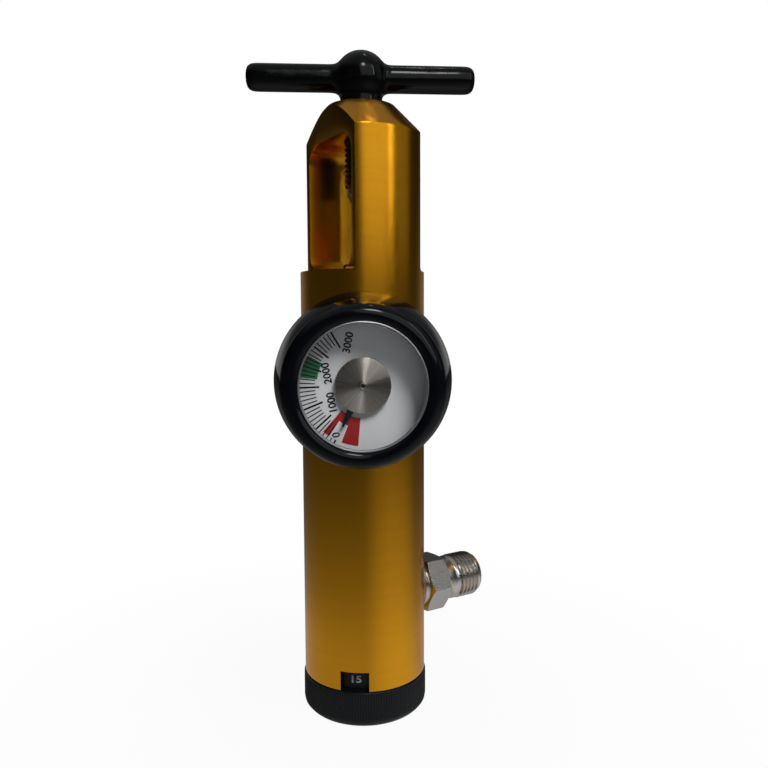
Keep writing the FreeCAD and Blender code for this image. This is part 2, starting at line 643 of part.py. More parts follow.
# The pressure-reducing stage: nozzle, piston and spring.
def make_reducing_stage():
    stem, gap, section = dim["stem_radius"], dim["fit_gap"], dim["ring_section"]
    guide = stem + gap
    groove, groove_low = guide + section * 2, SPRING_SEAT + section * 3
    groove_high = groove_low + dim["ring_groove"]
    turned("seat_nozzle", [
        (guide, SPRING_SEAT), (dim["nozzle_radius"], SPRING_SEAT),
        (dim["nozzle_radius"], NOZZLE_TOP - dim["seat_gap"]),
        (dim["nozzle_bore_radius"], NOZZLE_TOP - dim["seat_gap"]),
        (dim["nozzle_bore_radius"], NOZZLE_FACE), (guide, NOZZLE_FACE),
        (guide, groove_high), (groove, groove_high), (groove, groove_low), (guide, groove_low)])
    ring("stem_ring", guide + section, section, (groove_low + groove_high) / 2)

    radius, bore = dim["piston_radius"], dim["stem_bore_radius"]
    ring_floor = radius - section * 2
    ring_low = PISTON_BOTTOM + (dim["piston_height"] - dim["ring_groove"]) / 2
    ring_high = ring_low + dim["ring_groove"]
    cross_level = STEM_TOP - dim["seat_height"] - bore * 2
    seat_floor = STEM_TOP - dim["seat_height"]
    body = turned("piston", [
        (bore, PISTON_BOTTOM), (radius, PISTON_BOTTOM), (radius, ring_low),
        (ring_floor, ring_low), (ring_floor, ring_high), (radius, ring_high),
        (radius, PISTON_TOP), (stem, PISTON_TOP), (stem, STEM_TOP),
        (dim["seat_radius"], STEM_TOP), (dim["seat_radius"], seat_floor), (0, seat_floor),
        (0, cross_level), (bore, cross_level)])
    cross_hole = new_sketch(body, "CrossHoleOutline", "XZ_Plane")
    draw_circle(cross_hole, 0, cross_level - bore, bore * 0.8)
    pocket(body, "CrossHole", cross_hole, stem * 4, both=True)
    ring("piston_ring", radius - section, section, (ring_low + ring_high) / 2)
    seat = add_piece("Part::Cylinder", "piston_seat", Radius=dim["seat_radius"],
                     Height=dim["seat_height"] + dim["seat_proud"])
    place(seat, z=seat_floor)
    spring = coil("main_spring", dim["spring_radius"], dim["spring_wire_radius"],
                  SPRING_SEAT - PISTON_TOP, dim["spring_turns"])
    place(spring, z=PISTON_TOP)


# The flow head and what turns in it.
def make_flow_head():
    radius, gap, section = dim["flow_bore_radius"], dim["fit_gap"], dim["ring_section"]
    shaft_bore = dim["shaft_radius"] + gap
    inner_groove, inner_low = shaft_bore + section * 2, DECK + dim["shaft_ring_rise"]
    inner_high = inner_low + dim["ring_groove"]
    rim_inside = radius - dim["flow_rim_wall"]
    outer_floor = radius - section * 2
    low_level = OUTLET_LEVEL - dim["flow_ring_spread"]
    high_level = OUTLET_LEVEL + dim["flow_ring_spread"]
    channel, groove_half = radius - dim["channel_depth"], dim["ring_groove"] / 2
    outline = [(shaft_bore, DECK), (radius, DECK)]
    for level, half, floor in ((low_level, groove_half, outer_floor),
                               (OUTLET_LEVEL, dim["channel_half"], channel),
                               (high_level, groove_half, outer_floor)):
        outline += [(radius, level - half), (floor, level - half),
                    (floor, level + half), (radius, level + half)]
    outline += [(radius, FLOW_TOP), (rim_inside, FLOW_TOP), (rim_inside, PLATE_SEAT),
                (shaft_bore, PLATE_SEAT), (shaft_bore, inner_high), (inner_groove, inner_high),
                (inner_groove, inner_low), (shaft_bore, inner_low)]
    body = turned("flow_head", outline)
    feed_x = dim["orifice_circle"] * cosine(dim["outlet_azimuth"])
    feed_y = dim["orifice_circle"] * sine(dim["outlet_azimuth"])
    feed = new_sketch(body, "FeedOutline", "XY_Plane", lift=PLATE_SEAT)
    draw_circle(feed, feed_x, feed_y, dim["passage_radius"])
    pocket(body, "Feed", feed, PLATE_SEAT - OUTLET_LEVEL)
    side = new_sketch(body, "SideFeedOutline", "XZ_Plane", dim["outlet_azimuth"] + 90,
                      dim["orifice_circle"])
    draw_circle(side, 0, OUTLET_LEVEL, dim["passage_radius"])
    pocket(body, "SideFeed", side, radius, reverse=True)
    bores = new_sketch(body, "BallBoreOutline", "XY_Plane", lift=DECK)
    draw_circle(bores, 0, dim["orifice_circle"], dim["ball_radius"] + gap)
    pocket(body, "BallBore", bores, dim["ball_bore_depth"], reverse=True)
    stop = new_sketch(body, "StopHoleOutline", "XY_Plane", lift=DECK)
    draw_circle(stop, -dim["stop_circle"], 0, dim["stop_pin_radius"] + gap)
    pocket(body, "StopHole", stop, dim["stop_reach"] * 2, reverse=True)

    rings = doc.addObject("Part::Compound", "flow_head_rings")
    rings.Label = "flow_head_rings"
    links = []
    for name, level in (("LowerRing", low_level), ("UpperRing", high_level)):
        torus = doc.addObject("Part::Torus", name)
        bind(torus, Radius1=radius - section, Radius2=section)
        place(torus, z=level)
        links.append(torus)
    rings.Links = links
    PIECES.append(rings)
    ring("shaft_ring", shaft_bore + section, section, (inner_low + inner_high) / 2)


def make_selector():
    radius, head = dim["shaft_radius"], dim["shaft_head_radius"]
    low, head_low = DRUM_TOP - dim["shaft_depth"], PLATE_TOP + dim["seat_gap"]
    tap = dim["screw_radius"] + dim["fit_gap"]
    tap_top = SCREW_TOP + dim["edge_bevel"]
    body = turned("selector_shaft", [
        (tap, low), (radius, low), (radius, head_low), (head, head_low),
        (head, head_low + dim["shaft_head_height"]), (0, head_low + dim["shaft_head_height"]),
        (0, tap_top), (tap, tap_top)])
    cut_flat(body, "KnobFlat", low, DRUM_TOP)
    cut_flat(body, "PlateFlat", PLATE_BOTTOM, head_low)

    plate_radius = dim["flow_bore_radius"] - dim["flow_rim_wall"] - dim["seat_gap"] * 4
    plate = new_body("orifice_plate")
    outline = new_sketch(plate, "PlateOutline", "XY_Plane", lift=PLATE_BOTTOM)
    draw_circle(outline, 0, 0, plate_radius)
    draw_keyed_hole(outline)
    pad = plate.newObject("PartDesign::Pad", "Plate")
    pad.Profile = outline
    bind(pad, Length=dim["plate_height"])
    orifice = new_sketch(plate, "OrificeOutline", "XY_Plane", lift=PLATE_TOP)
    draw_circle(orifice, dim["orifice_circle"] * cosine(dim["outlet_azimuth"]),
                dim["orifice_circle"] * sine(dim["outlet_azimuth"]), dim["orifice_radius"])
    hole = pocket(plate, "Orifice", orifice, dim["plate_height"] + 1)
    repeat_round(plate, "Orifices", hole, FLOW_STEPS)


def repeat_round(body, name, feature, count):
    """Repeat a feature at even turns about the body's Z axis."""
    pattern = body.newObject("PartDesign::PolarPattern", name)
    pattern.Originals = [feature]
    pattern.Axis = (origin_plane(body, "Z_Axis"), [""])
    pattern.Angle = 360
    pattern.Occurrences = count
    body.Tip = pattern
    doc.recompute()
    return pattern


def key_depth():
    """Distance from the shaft's axis to the flat of its key."""
    return dim["shaft_radius"] * 0.75


def cut_flat(body, name, low, high):
    """Mill the flat of a D-shaped key between two heights."""
    radius = dim["shaft_radius"]
    outline = new_sketch(body, name + "Outline", "XY_Plane", lift=low)
    draw_loop(outline, [(-radius, key_depth()), (radius, key_depth()), (radius, radius + 1),
                        (-radius, radius + 1)])
    pocket(body, name, outline, high - low, reverse=True)


def draw_keyed_hole(sketch):
    """The D-shaped hole that fits the shaft's key: an arc closed by a flat."""
    radius = dim["shaft_radius"] + dim["fit_gap"]
    flat = key_depth() + dim["fit_gap"]
    start = math.asin(flat.value / radius.value)
    arc = Part.ArcOfCircle(Part.Circle(FreeCAD.Vector(), FreeCAD.Vector(0, 0, 1), radius.value),
                           math.pi - start, 2 * math.pi + start)
    curve = sketch.addGeometry(arc, False)
    half = radius.value * math.cos(start)
    line = sketch.addGeometry(Part.LineSegment(FreeCAD.Vector(half, flat.value, 0),
                                               FreeCAD.Vector(-half, flat.value, 0)), False)
    sketch.addConstraint(Sketcher.Constraint("Coincident", curve, 3, -1, 1))
    sketch.addConstraint(Sketcher.Constraint("Coincident", curve, 2, line, 1))
    sketch.addConstraint(Sketcher.Constraint("Coincident", line, 2, curve, 1))
    sketch.addConstraint(Sketcher.Constraint("Horizontal", line))
    index = sketch.addConstraint(Sketcher.Constraint("Radius", curve, radius.value))
    sketch.setExpression(f"Constraints[{index}]", radius.text)
    index = sketch.addConstraint(Sketcher.Constraint("DistanceY", -1, 1, line, 1, flat.value))
    sketch.setExpression(f"Constraints[{index}]", flat.text)


def make_detent():
    ball = dim["ball_radius"]
    centre = DRUM_TOP - dim["track_depth"] + ball + dim["seat_gap"]
    detent_ball = add_piece("Part::Sphere", "detent_ball", Radius=ball)
    place(detent_ball, y=dim["orifice_circle"], z=centre)
    wire = dim["detent_wire_radius"]
    spring_low = centre + ball
    spring = coil("detent_spring", ball - wire * 1.2, wire,
                  DECK + dim["ball_bore_depth"] - spring_low, dim["detent_spring_turns"])
    place(spring, y=dim["orifice_circle"], z=spring_low)
    pin = add_piece("Part::Cylinder", "stop_pin", Radius=dim["stop_pin_radius"],
                    Height=dim["stop_pin_length"])
    place(pin, x=-dim["stop_circle"], z=DECK - dim["stop_reach"])


def make_flow_knob():
    radius, core = dim["knob_radius"], dim["knob_core_radius"]
    drum, hollow = dim["knob_skirt_radius"], dim["knob_hollow_radius"]
    depth, gap = dim["knob_hollow_depth"], dim["fit_gap"]
    screw_head = dim["screw_head_radius"] + gap * 3
    screw_hole = dim["screw_radius"] + gap * 2
    key_floor = DRUM_TOP - dim["shaft_depth"] - dim["seat_gap"]
    body = turned("flow_knob", [
        (hollow, 0), (radius, 0), (radius, dim["knob_height"]), (drum, dim["knob_height"]),
        (drum, DRUM_TOP), (0, DRUM_TOP), (0, key_floor), (screw_hole, key_floor),
        (screw_hole, SCREW_SEAT), (screw_head, SCREW_SEAT),
        (screw_head, dim["knob_core_recess"]), (core, dim["knob_core_recess"]), (core, depth),
        (hollow, depth)])
    round_edges(body, "LowerRound", dim["knob_round"],
                lambda edge: is_ring(edge, radius, ZERO))
    round_edges(body, "UpperRound", dim["knob_top_round"],
                lambda edge: is_ring(edge, radius, dim["knob_height"]))
    key = new_sketch(body, "KeyOutline", "XY_Plane", lift=DRUM_TOP)
    draw_keyed_hole(key)
    pocket(body, "KeyHole", key, DRUM_TOP - key_floor)
    ball, track = dim["ball_radius"], dim["orifice_circle"]
    half, floor = ball * 0.85, DRUM_TOP - dim["track_depth"]
    revolve(body, "DetentTrack", [
        (track - half, floor), (track + half, floor), (track + half, DRUM_TOP + 1),
        (track - half, DRUM_TOP + 1)], "PartDesign::Groove")
    detent = new_sketch(body, "DetentOutline", "XY_Plane", lift=floor)
    draw_circle(detent, 0, track, ball * 0.7)
    cup = pocket(body, "Detent", detent, dim["detent_depth"])
    repeat_round(body, "Detents", cup, FLOW_STEPS)
    circle, side = dim["stop_circle"], dim["stop_pin_radius"] + gap * 3
    slot_floor = DECK - dim["stop_reach"] - gap * 8
    revolve(body, "StopSlot", [
        (circle - side, slot_floor), (circle + side, slot_floor),
        (circle + side, DRUM_TOP + 1), (circle - side, DRUM_TOP + 1)],
        "PartDesign::Groove", dim["stop_turn"] + dim["stop_side"] * 2,
        as_size(180) - dim["stop_turn"] - dim["stop_side"])


def make_knob_screw():
    head, shank = dim["screw_head_radius"], dim["screw_radius"]
    low = dim["screw_depth"]
    body = turned("knob_screw", [
        (0, low), (head, low), (head, SCREW_SEAT), (shank, SCREW_SEAT), (shank, SCREW_TOP),
        (0, SCREW_TOP)])
    outline = new_sketch(body, "SocketOutline", "XY_Plane", lift=low)
    draw_hexagon(outline, dim["screw_socket"])
    pocket(body, "Socket", outline, dim["screw_socket_depth"], reverse=True)


def draw_hexagon(sketch, corner):
    """A regular hexagon about the sketch's origin, two corners on its X axis."""
    across, up = corner * cosine(as_size(60)), corner * sine(as_size(60))
    draw_loop(sketch, [(corner, 0), (across, up), (-across, up), (-corner, 0), (-across, -up),
                       (across, -up)])


# The outlet.
def make_outlet():
    shank, bore, gap = dim["outlet_shank_radius"], dim["outlet_bore_radius"], dim["fit_gap"]
    collar, neck = dim["outlet_collar_radius"], dim["outlet_neck_radius"]
    thread, inner = dim["outlet_thread_radius"], dim["passage_radius"]
    corner = dim["hexagon_width"] / 2 / cosine(as_size(30))
    start, tip, band = dim["thread_start"], dim["outlet_tip_depth"], dim["outlet_band_radius"]
    bore_floor = OUTLET_END - dim["outlet_bore_depth"]
    body = turned("outlet_fitting", [
        (inner, OUTLET_INNER), (shank, OUTLET_INNER), (shank, WASHER_FRONT),
        (collar, WASHER_FRONT), (collar, HEXAGON_BACK), (neck, HEXAGON_BACK),
        (neck, OUTLET_BAND_BACK), (band, OUTLET_BAND_BACK), (band, OUTLET_THREAD_BACK),
        (thread, OUTLET_THREAD_BACK + start), (thread, OUTLET_BEVEL),
        (thread - tip, OUTLET_END), (bore, OUTLET_END), (bore, bore_floor),
        (inner, bore_floor)])
    outline = new_sketch(body, "HexagonOutline", "XY_Plane", lift=HEXAGON_BACK)
    draw_hexagon(outline, corner)
    draw_circle(outline, 0, 0, (neck + inner) / 2)
    pad = body.newObject("PartDesign::Pad", "Hexagon")
    pad.Profile = outline
    bind(pad, Length=dim["hexagon_length"])
    bevel, flat = dim["hexagon_bevel"], dim["hexagon_width"] / 2
    for name, level, inward in (("BackBevel", HEXAGON_BACK, 1), ("FrontBevel", HEXAGON_FRONT, -1)):
        revolve(body, name, [
            (flat - bevel * 0.3, level), (corner + 1, level),
            (corner + 1, level + bevel * 1.3 * inward)], "PartDesign::Groove")
    place_on_outlet(body)
    washer = turned("outlet_washer", [
        (shank + gap, dim["outlet_spot_reach"]),
        (dim["outlet_washer_radius"], dim["outlet_spot_reach"]),
        (dim["outlet_washer_radius"], WASHER_FRONT), (shank + gap, WASHER_FRONT)])
    place_on_outlet(washer)


# The gauge; heights are distances from the barrel's axis to the front.
def make_gauge_case():
    shank, collar = dim["gauge_shank_radius"], dim["gauge_collar_radius"]
    block, bore = dim["gauge_block_radius"], dim["passage_radius"] * 0.8
    arbor_bore = dim["arbor_radius"] + dim["fit_gap"]
    arbor_floor = BLOCK_TOP - dim["arbor_depth"]
    bore_top = arbor_floor - dim["case_wall"]
    collar_back = dim["barrel_radius"] + dim["seat_gap"] * 2
    socket = turned("gauge_socket", [
        (bore, GAUGE_SHANK_END), (shank, GAUGE_SHANK_END), (shank, collar_back),
        (collar, collar_back), (collar, CASE_BACK), (shank, CASE_BACK), (shank, CASE_FLOOR),
        (block, CASE_FLOOR), (block, BLOCK_TOP), (arbor_bore, BLOCK_TOP),
        (arbor_bore, arbor_floor), (0, arbor_floor), (0, bore_top), (bore, bore_top)])
    place_on_gauge(socket)

    inside, step = CASE_BORE, dim["dial_step"]
    back, front = dim["case_back_radius"], dim["case_front_radius"]
    edge = dim["case_edge"]
    hole = shank + dim["fit_gap"]
    case = turned("gauge_case", [
        (hole, CASE_BACK), (back, CASE_BACK), (back, CASE_BACK + edge * 2), (front, CASE_FRONT),
        (inside, CASE_FRONT), (inside, DIAL_BACK), (inside - step, DIAL_BACK),
        (inside - step, DIAL_BACK - step), (inside, DIAL_BACK - step * 2),
        (inside, CASE_FLOOR), (hole, CASE_FLOOR)])
    round_edges(case, "BackRound", edge, lambda item: is_ring(item, back, CASE_BACK))
    place_on_gauge(case)


def make_gauge_front():
    inside, opening, small = CASE_BORE, BEZEL_OPENING, dim["bezel_edge"]
    front, gap = dim["case_front_radius"], dim["fit_gap"]
    lens = inside - gap * 2
    edge = dim["bezel_slope"] * 0.9
    bezel = turned("gauge_bezel", [
        (inside, CASE_FRONT), (front, CASE_FRONT), (front - small, BEZEL_FRONT - edge),
        (BEZEL_FACE, BEZEL_FRONT), (opening + small * 2, BEZEL_FRONT - small),
        (opening, GASKET_FRONT), (inside, GASKET_FRONT)])
    place_on_gauge(bezel)
    gasket = turned("lens_gasket", [
        (opening + small, LENS_FRONT), (lens, LENS_FRONT), (lens, GASKET_FRONT),
        (opening + small, GASKET_FRONT)])
    place_on_gauge(gasket)
    glass = turned("gauge_lens", [
        (0, LENS_BACK), (lens, LENS_BACK), (lens, LENS_FRONT), (0, LENS_FRONT)])
    place_on_gauge(glass)
    spacer = turned("dial_ring", [
        (lens - dim["dial_ring_wall"], DIAL_FACE), (lens, DIAL_FACE), (lens, LENS_BACK),
        (lens - dim["dial_ring_wall"], LENS_BACK)])
    place_on_gauge(spacer)
    dial = turned("gauge_dial", [
        (dim["dial_hole_radius"], DIAL_BACK), (lens, DIAL_BACK), (lens, DIAL_FACE),
        (dim["dial_hole_radius"], DIAL_FACE)])
    place_on_gauge(dial)


def make_gauge_movement():
    tube = dim["coil_tube_radius"]
    height = DIAL_BACK - BLOCK_TOP - dim["dial_step"]
    winding = coil("pressure_coil", dim["coil_radius"], tube, height, dim["coil_turns"])
    place(winding, y=-BLOCK_TOP, z=GAUGE_LEVEL, roll=as_size(90))
    radius, cap = dim["arbor_radius"], dim["arbor_cap_radius"]
    low = BLOCK_TOP - dim["arbor_depth"] + dim["seat_gap"]
    cap_low = POINTER_FACE + dim["pointer_dish"]
    cap_high = cap_low + dim["arbor_cap_height"]
    small = dim["arbor_cap_height"] / 2
    arbor = turned("pointer_arbor", [
        (0, low), (radius, low), (radius, cap_low), (cap, cap_low), (cap, cap_high - small),
        (cap - small, cap_high), (0, cap_high)])
    place_on_gauge(arbor)

    hole, disc = radius, dim["pointer_radius"]
    dish, thick = dim["pointer_dish"], dim["pointer_thickness"]
    pointer = turned("gauge_pointer", [
        (hole, POINTER_BACK + dish), (disc, POINTER_BACK), (disc, POINTER_FACE),
        (hole, POINTER_FACE + dish)])
    blade = new_sketch(pointer, "BladeOutline", "XY_Plane", dim["pointer_rest"], POINTER_BACK)
    half, inner = dim["pointer_width"] / 2, disc * 0.93
    draw_loop(blade, [(inner, -half), (dim["pointer_reach"], -half * 0.25),
                      (dim["pointer_reach"], half * 0.25), (inner, half)])
    pad = pointer.newObject("PartDesign::Pad", "Blade")
    pad.Profile = blade
    bind(pad, Length=thick)
    place_on_gauge(pointer)


# The clamp that presses the post valve onto the inlet.
def make_clamp():
    radius, pilot = dim["clamp_radius"], dim["clamp_pilot_radius"]
    head = dim["clamp_head_radius"]
    head_low, head_top = TOP + dim["handle_gap"] * 2, BAR_LEVEL + dim["clamp_head_over"]
    pilot_low = THREAD_END - dim["clamp_pilot_length"]
    bevel = dim["thread_start"]
    screw = turned("clamp_screw", [
        (0, pilot_low), (pilot, pilot_low), (pilot, THREAD_END), (radius - bevel, THREAD_END),
        (radius, THREAD_END + bevel), (radius, head_low), (head, head_low),
        (head, head_top), (0, head_top)])
    turn = as_size(90) - dim["handle_azimuth"]
    bar_hole = new_sketch(screw, "BarHoleOutline", "XZ_Plane", turn)
    draw_circle(bar_hole, 0, BAR_LEVEL, dim["cross_bar_radius"] + dim["fit_gap"])
    pocket(screw, "BarHole", bar_hole, head * 4, both=True)

    half = dim["handle_length"] / 2 - dim["cross_bar_cover"]
    bar = turned("cross_bar", [
        (0, -half), (dim["cross_bar_radius"], -half), (dim["cross_bar_radius"], half), (0, half)])
    place(bar, z=BAR_LEVEL, yaw=turn, roll=as_size(90))

    tip_top = THREAD_END - dim["seat_gap"]
    tip_low = tip_top - dim["tip_length"]
    recess, end, small = pilot + dim["fit_gap"], dim["tip_end_radius"], dim["edge_bevel"]
    turned("thrust_tip", [
        (0, tip_low), (end - small, tip_low), (end, tip_low + small),
        (dim["tip_radius"], tip_top - dim["tip_band"]), (dim["tip_radius"], tip_top),
        (recess, tip_top),
        (recess, pilot_low - dim["seat_gap"]), (0, pilot_low - dim["seat_gap"])])


def join(sketch, pairs, kind="Coincident"):
    """Join ends of curves: each pair is a curve, its end, another curve and its end."""
    for pair in pairs:
        sketch.addConstraint(Sketcher.Constraint(kind, *pair))


def set_radius(sketch, curve, radius):
    index = sketch.addConstraint(Sketcher.Constraint("Radius", curve, radius.value))
    sketch.setExpression(f"Constraints[{index}]", radius.text)


def draw_hub(sketch, neck, hub, blend, low):
    """Half the outline of the hub: a neck that flares into a ball round the bar's axis."""
    level = BAR_LEVEL.value
    drop = math.sqrt((hub.value + blend.value) ** 2 - (neck.value + blend.value) ** 2)
    flare_centre = FreeCAD.Vector(neck.value + blend.value, level - drop, 0)
    share = hub.value / (hub.value + blend.value)
    foot, heel = FreeCAD.Vector(0, low.value, 0), FreeCAD.Vector(neck.value, low.value, 0)
    waist = FreeCAD.Vector(neck.value, level - drop, 0)
    apex, up = FreeCAD.Vector(0, level + hub.value, 0), FreeCAD.Vector(0, 0, 1)
    slope = math.atan2(drop, neck.value + blend.value)
    flare = Part.ArcOfCircle(Part.Circle(flare_centre, up, blend.value), math.pi - slope, math.pi)
    ball = Part.ArcOfCircle(Part.Circle(FreeCAD.Vector(0, level, 0), up, hub.value),
                            -slope, math.pi / 2)
    base, side, bend, crown, axis = sketch.addGeometry([
        Part.LineSegment(foot, heel), Part.LineSegment(heel, waist), flare, ball,
        Part.LineSegment(apex, foot)], False)
    join(sketch, [(base, 2, side, 1), (crown, 2, axis, 1), (axis, 2, base, 1)])
    join(sketch, [(side, 2, bend, 2), (bend, 1, crown, 1)], "Tangent")
    set_radius(sketch, crown, hub)
    set_radius(sketch, bend, blend)
    fix_point(sketch, crown, 3, ZERO, BAR_LEVEL)
    fix_point(sketch, base, 1, ZERO, low)
    fix_point(sketch, base, 2, neck, low)
    sketch.addConstraint(Sketcher.Constraint("Vertical", side))
    sketch.addConstraint(Sketcher.Constraint("PointOnObject", axis, 1, -2))


def draw_half_bar(sketch, half, grip, hub, blend, end_round):
    """Half the bar above its axis, with a flare that runs into the hub's ball."""
    level, top = BAR_LEVEL.value, BAR_LEVEL + grip
    reach = math.sqrt((hub.value + blend.value) ** 2 - (grip.value + blend.value) ** 2)
    slope = math.atan2(grip.value + blend.value, reach)
    middle, end = FreeCAD.Vector(0, level, 0), FreeCAD.Vector(half.value, level, 0)
    up = FreeCAD.Vector(0, 0, 1)
    corner = FreeCAD.Vector(half.value, top.value - end_round.value, 0)
    shoulder = FreeCAD.Vector(half.value - end_round.value, top.value, 0)
    root = FreeCAD.Vector(reach, top.value, 0)
    contact = FreeCAD.Vector(hub.value * math.cos(slope), level + hub.value * math.sin(slope), 0)
    end_centre = FreeCAD.Vector(shoulder.x, corner.y, 0)
    tip = Part.ArcOfCircle(Part.Circle(end_centre, up, end_round.value), 0, math.pi / 2)
    flare_centre = FreeCAD.Vector(reach, top.value + blend.value, 0)
    flare = Part.ArcOfCircle(Part.Circle(flare_centre, up, blend.value),
                             math.pi + slope, 1.5 * math.pi)
    axis, face, nose, side, bend, back = sketch.addGeometry([
        Part.LineSegment(middle, end), Part.LineSegment(end, corner), tip,
        Part.LineSegment(shoulder, root), flare, Part.LineSegment(contact, middle)], False)
    join(sketch, [(axis, 2, face, 1), (face, 2, nose, 1), (nose, 2, side, 1), (bend, 1, back, 1),
                  (back, 2, axis, 1)])
    join(sketch, [(side, 2, bend, 2)], "Tangent")
    set_radius(sketch, nose, end_round)
    set_radius(sketch, bend, blend)
    fix_point(sketch, axis, 1, ZERO, BAR_LEVEL)
    fix_point(sketch, axis, 2, half, BAR_LEVEL)
    fix_point(sketch, face, 2, half, top - end_round)
    fix_point(sketch, side, 1, half - end_round, top)
    sketch.addConstraint(Sketcher.Constraint("Horizontal", side))
    sketch.addConstraint(Sketcher.Constraint("PointOnObject", bend, 3, back))
    index = sketch.addConstraint(Sketcher.Constraint("Distance", back, hub.value))
    sketch.setExpression(f"Constraints[{index}]", hub.text)
    sketch.addGeometry(Part.LineSegment(middle, end), True)
    join(sketch, [(axis, 1, back + 1, 1), (axis, 2, back + 1, 2)])


def make_handle_coating():
    head, bar = dim["clamp_head_radius"], dim["cross_bar_radius"]
    head_low, head_top = TOP + dim["handle_gap"] * 2, BAR_LEVEL + dim["clamp_head_over"]
    neck_low = TOP + dim["handle_gap"]
    neck, hub, grip = dim["hub_neck_radius"], dim["hub_radius"], dim["handle_radius"]
    turn, blend = -dim["handle_azimuth"], dim["hub_blend"]
    body = new_body("handle_coating")
    outline = new_sketch(body, "BarOutline", "XZ_Plane", turn)
    draw_half_bar(outline, dim["handle_length"] / 2, grip, hub, blend, dim["handle_end_round"])
    half_bar = body.newObject("PartDesign::Revolution", "HalfBar")
    half_bar.Profile = outline
    half_bar.ReferenceAxis = (outline, ["Axis0"])
    half_bar.Angle = 360
    doc.recompute()
    repeat_round(body, "Bar", half_bar, 2)
    hub_outline = new_sketch(body, "HubOutline", "XZ_Plane", turn + 90)
    draw_hub(hub_outline, neck, hub, blend, neck_low)
    ball = body.newObject("PartDesign::Revolution", "Hub")
    ball.Profile = hub_outline
    ball.ReferenceAxis = (hub_outline, ["V_Axis"])
    ball.Angle = 360
    doc.recompute()
    revolve(body, "HeadSpace", [
        (0, neck_low - 1), (dim["clamp_radius"], neck_low - 1), (dim["clamp_radius"], head_low),
        (head, head_low), (head, head_top), (0, head_top)], "PartDesign::Groove")
    hollow = new_sketch(body, "BarSpaceOutline", "XZ_Plane", turn + 90)
    draw_circle(hollow, 0, BAR_LEVEL, bar)
    pocket(body, "BarSpace", hollow, dim["handle_length"] - dim["cross_bar_cover"] * 2, both=True)


make_barrel()
make_inlet()
make_index_pins()
make_reducing_stage()
make_flow_head()
make_selector()
make_detent()
make_flow_knob()
make_knob_screw()
make_outlet()
make_gauge_case()
make_gauge_front()
make_gauge_movement()
make_clamp()
make_handle_coating()
doc.recompute()

for feature in doc.Objects:
    if "Invalid" in feature.State or "Error" in feature.State:
        raise RuntimeError(f"{feature.Name} ({feature.Label}) failed: {feature.State}")
os.makedirs("parts", exist_ok=True)
for piece in PIECES:
    shape = piece.Shape
    if shape.isNull() or not shape.isValid():
        raise RuntimeError(f"{piece.Label} has no valid shape")
    shape.exportStep(f"parts/{piece.Label}.step")
    print(f"{piece.Label}: {len(shape.Solids)} solids, {shape.Volume:.1f} mm3")
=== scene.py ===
"""Visual model of a yoke oxygen regulator, in metres, with +Z up.

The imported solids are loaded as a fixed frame. Each class below dresses one sub-assembly: it keeps
the solids whose shape is right, gives them a finish, and makes the pieces that need finer detail.
"""

import logging
import math
from dataclasses import dataclass, field
from enum import Enum
from typing import Sequence

import bmesh
import bpy
from mathutils import Matrix, Vector

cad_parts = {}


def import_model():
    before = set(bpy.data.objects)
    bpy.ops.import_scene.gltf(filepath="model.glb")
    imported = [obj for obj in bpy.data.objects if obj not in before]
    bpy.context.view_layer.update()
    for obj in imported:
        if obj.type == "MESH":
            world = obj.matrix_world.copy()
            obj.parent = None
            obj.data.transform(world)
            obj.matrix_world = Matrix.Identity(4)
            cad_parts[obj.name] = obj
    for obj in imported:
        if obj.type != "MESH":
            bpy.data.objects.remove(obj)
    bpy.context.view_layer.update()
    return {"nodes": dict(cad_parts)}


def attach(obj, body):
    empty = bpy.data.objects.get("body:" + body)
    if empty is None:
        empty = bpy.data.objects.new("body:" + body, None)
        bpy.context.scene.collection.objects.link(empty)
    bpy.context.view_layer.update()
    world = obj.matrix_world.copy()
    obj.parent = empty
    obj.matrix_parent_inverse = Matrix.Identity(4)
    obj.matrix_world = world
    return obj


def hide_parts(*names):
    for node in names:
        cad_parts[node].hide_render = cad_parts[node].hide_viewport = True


LOG = logging.getLogger("regulator")
MM = 0.001
FULL_TURN = 2.0 * math.pi
NOISE_LOW, NOISE_HIGH = 0.3, 0.7
SAME_PLACE = 1e-7
THREAD_SEAM = 2e-6
THREAD_FOOT, THREAD_MIDDLE = 0.14, 0.57
CAPITAL_SHARE = 0.7
LETTER_WEIGHT = 0.03
Color = tuple[float, float, float]
Triple = tuple[float, float, float]
Point = tuple[float, float]
Socket = bpy.types.NodeSocket


class Body(Enum):
    """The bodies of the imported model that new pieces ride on."""

    BARREL = "barrel_group"
    SELECTOR = "selector_group"
    POINTER = "pointer_group"
    CLAMP = "clamp_group"


class Axis(Enum):
    """The axis about which a piece is turned, as a placement of its own +Z."""

    BARREL = "barrel"
    GAUGE = "gauge"
    OUTLET = "outlet"
    BAR = "bar"

    def matrix(self) -> Matrix:
        """Return the placement that carries local +Z onto this axis.

        Returns:
            The matrix from the piece's own coordinates to the frame's.
        """
        lift = {"barrel": 0.0, "gauge": 100.45, "outlet": 32.6, "bar": 186.5}[self.value] * MM
        place = Matrix.Translation((0.0, 0.0, lift))
        tip = Matrix.Rotation(math.radians(90.0), 4, "X")
        if self is Axis.GAUGE:
            return place @ tip
        if self is Axis.OUTLET:
            return place @ Matrix.Rotation(math.radians(120.0), 4, "Z") @ tip
        if self is Axis.BAR:
            return place @ Matrix.Rotation(math.radians(2.0), 4, "Z")
        return place


# ---------------------------------------------------------------------------------------------
# Finishes


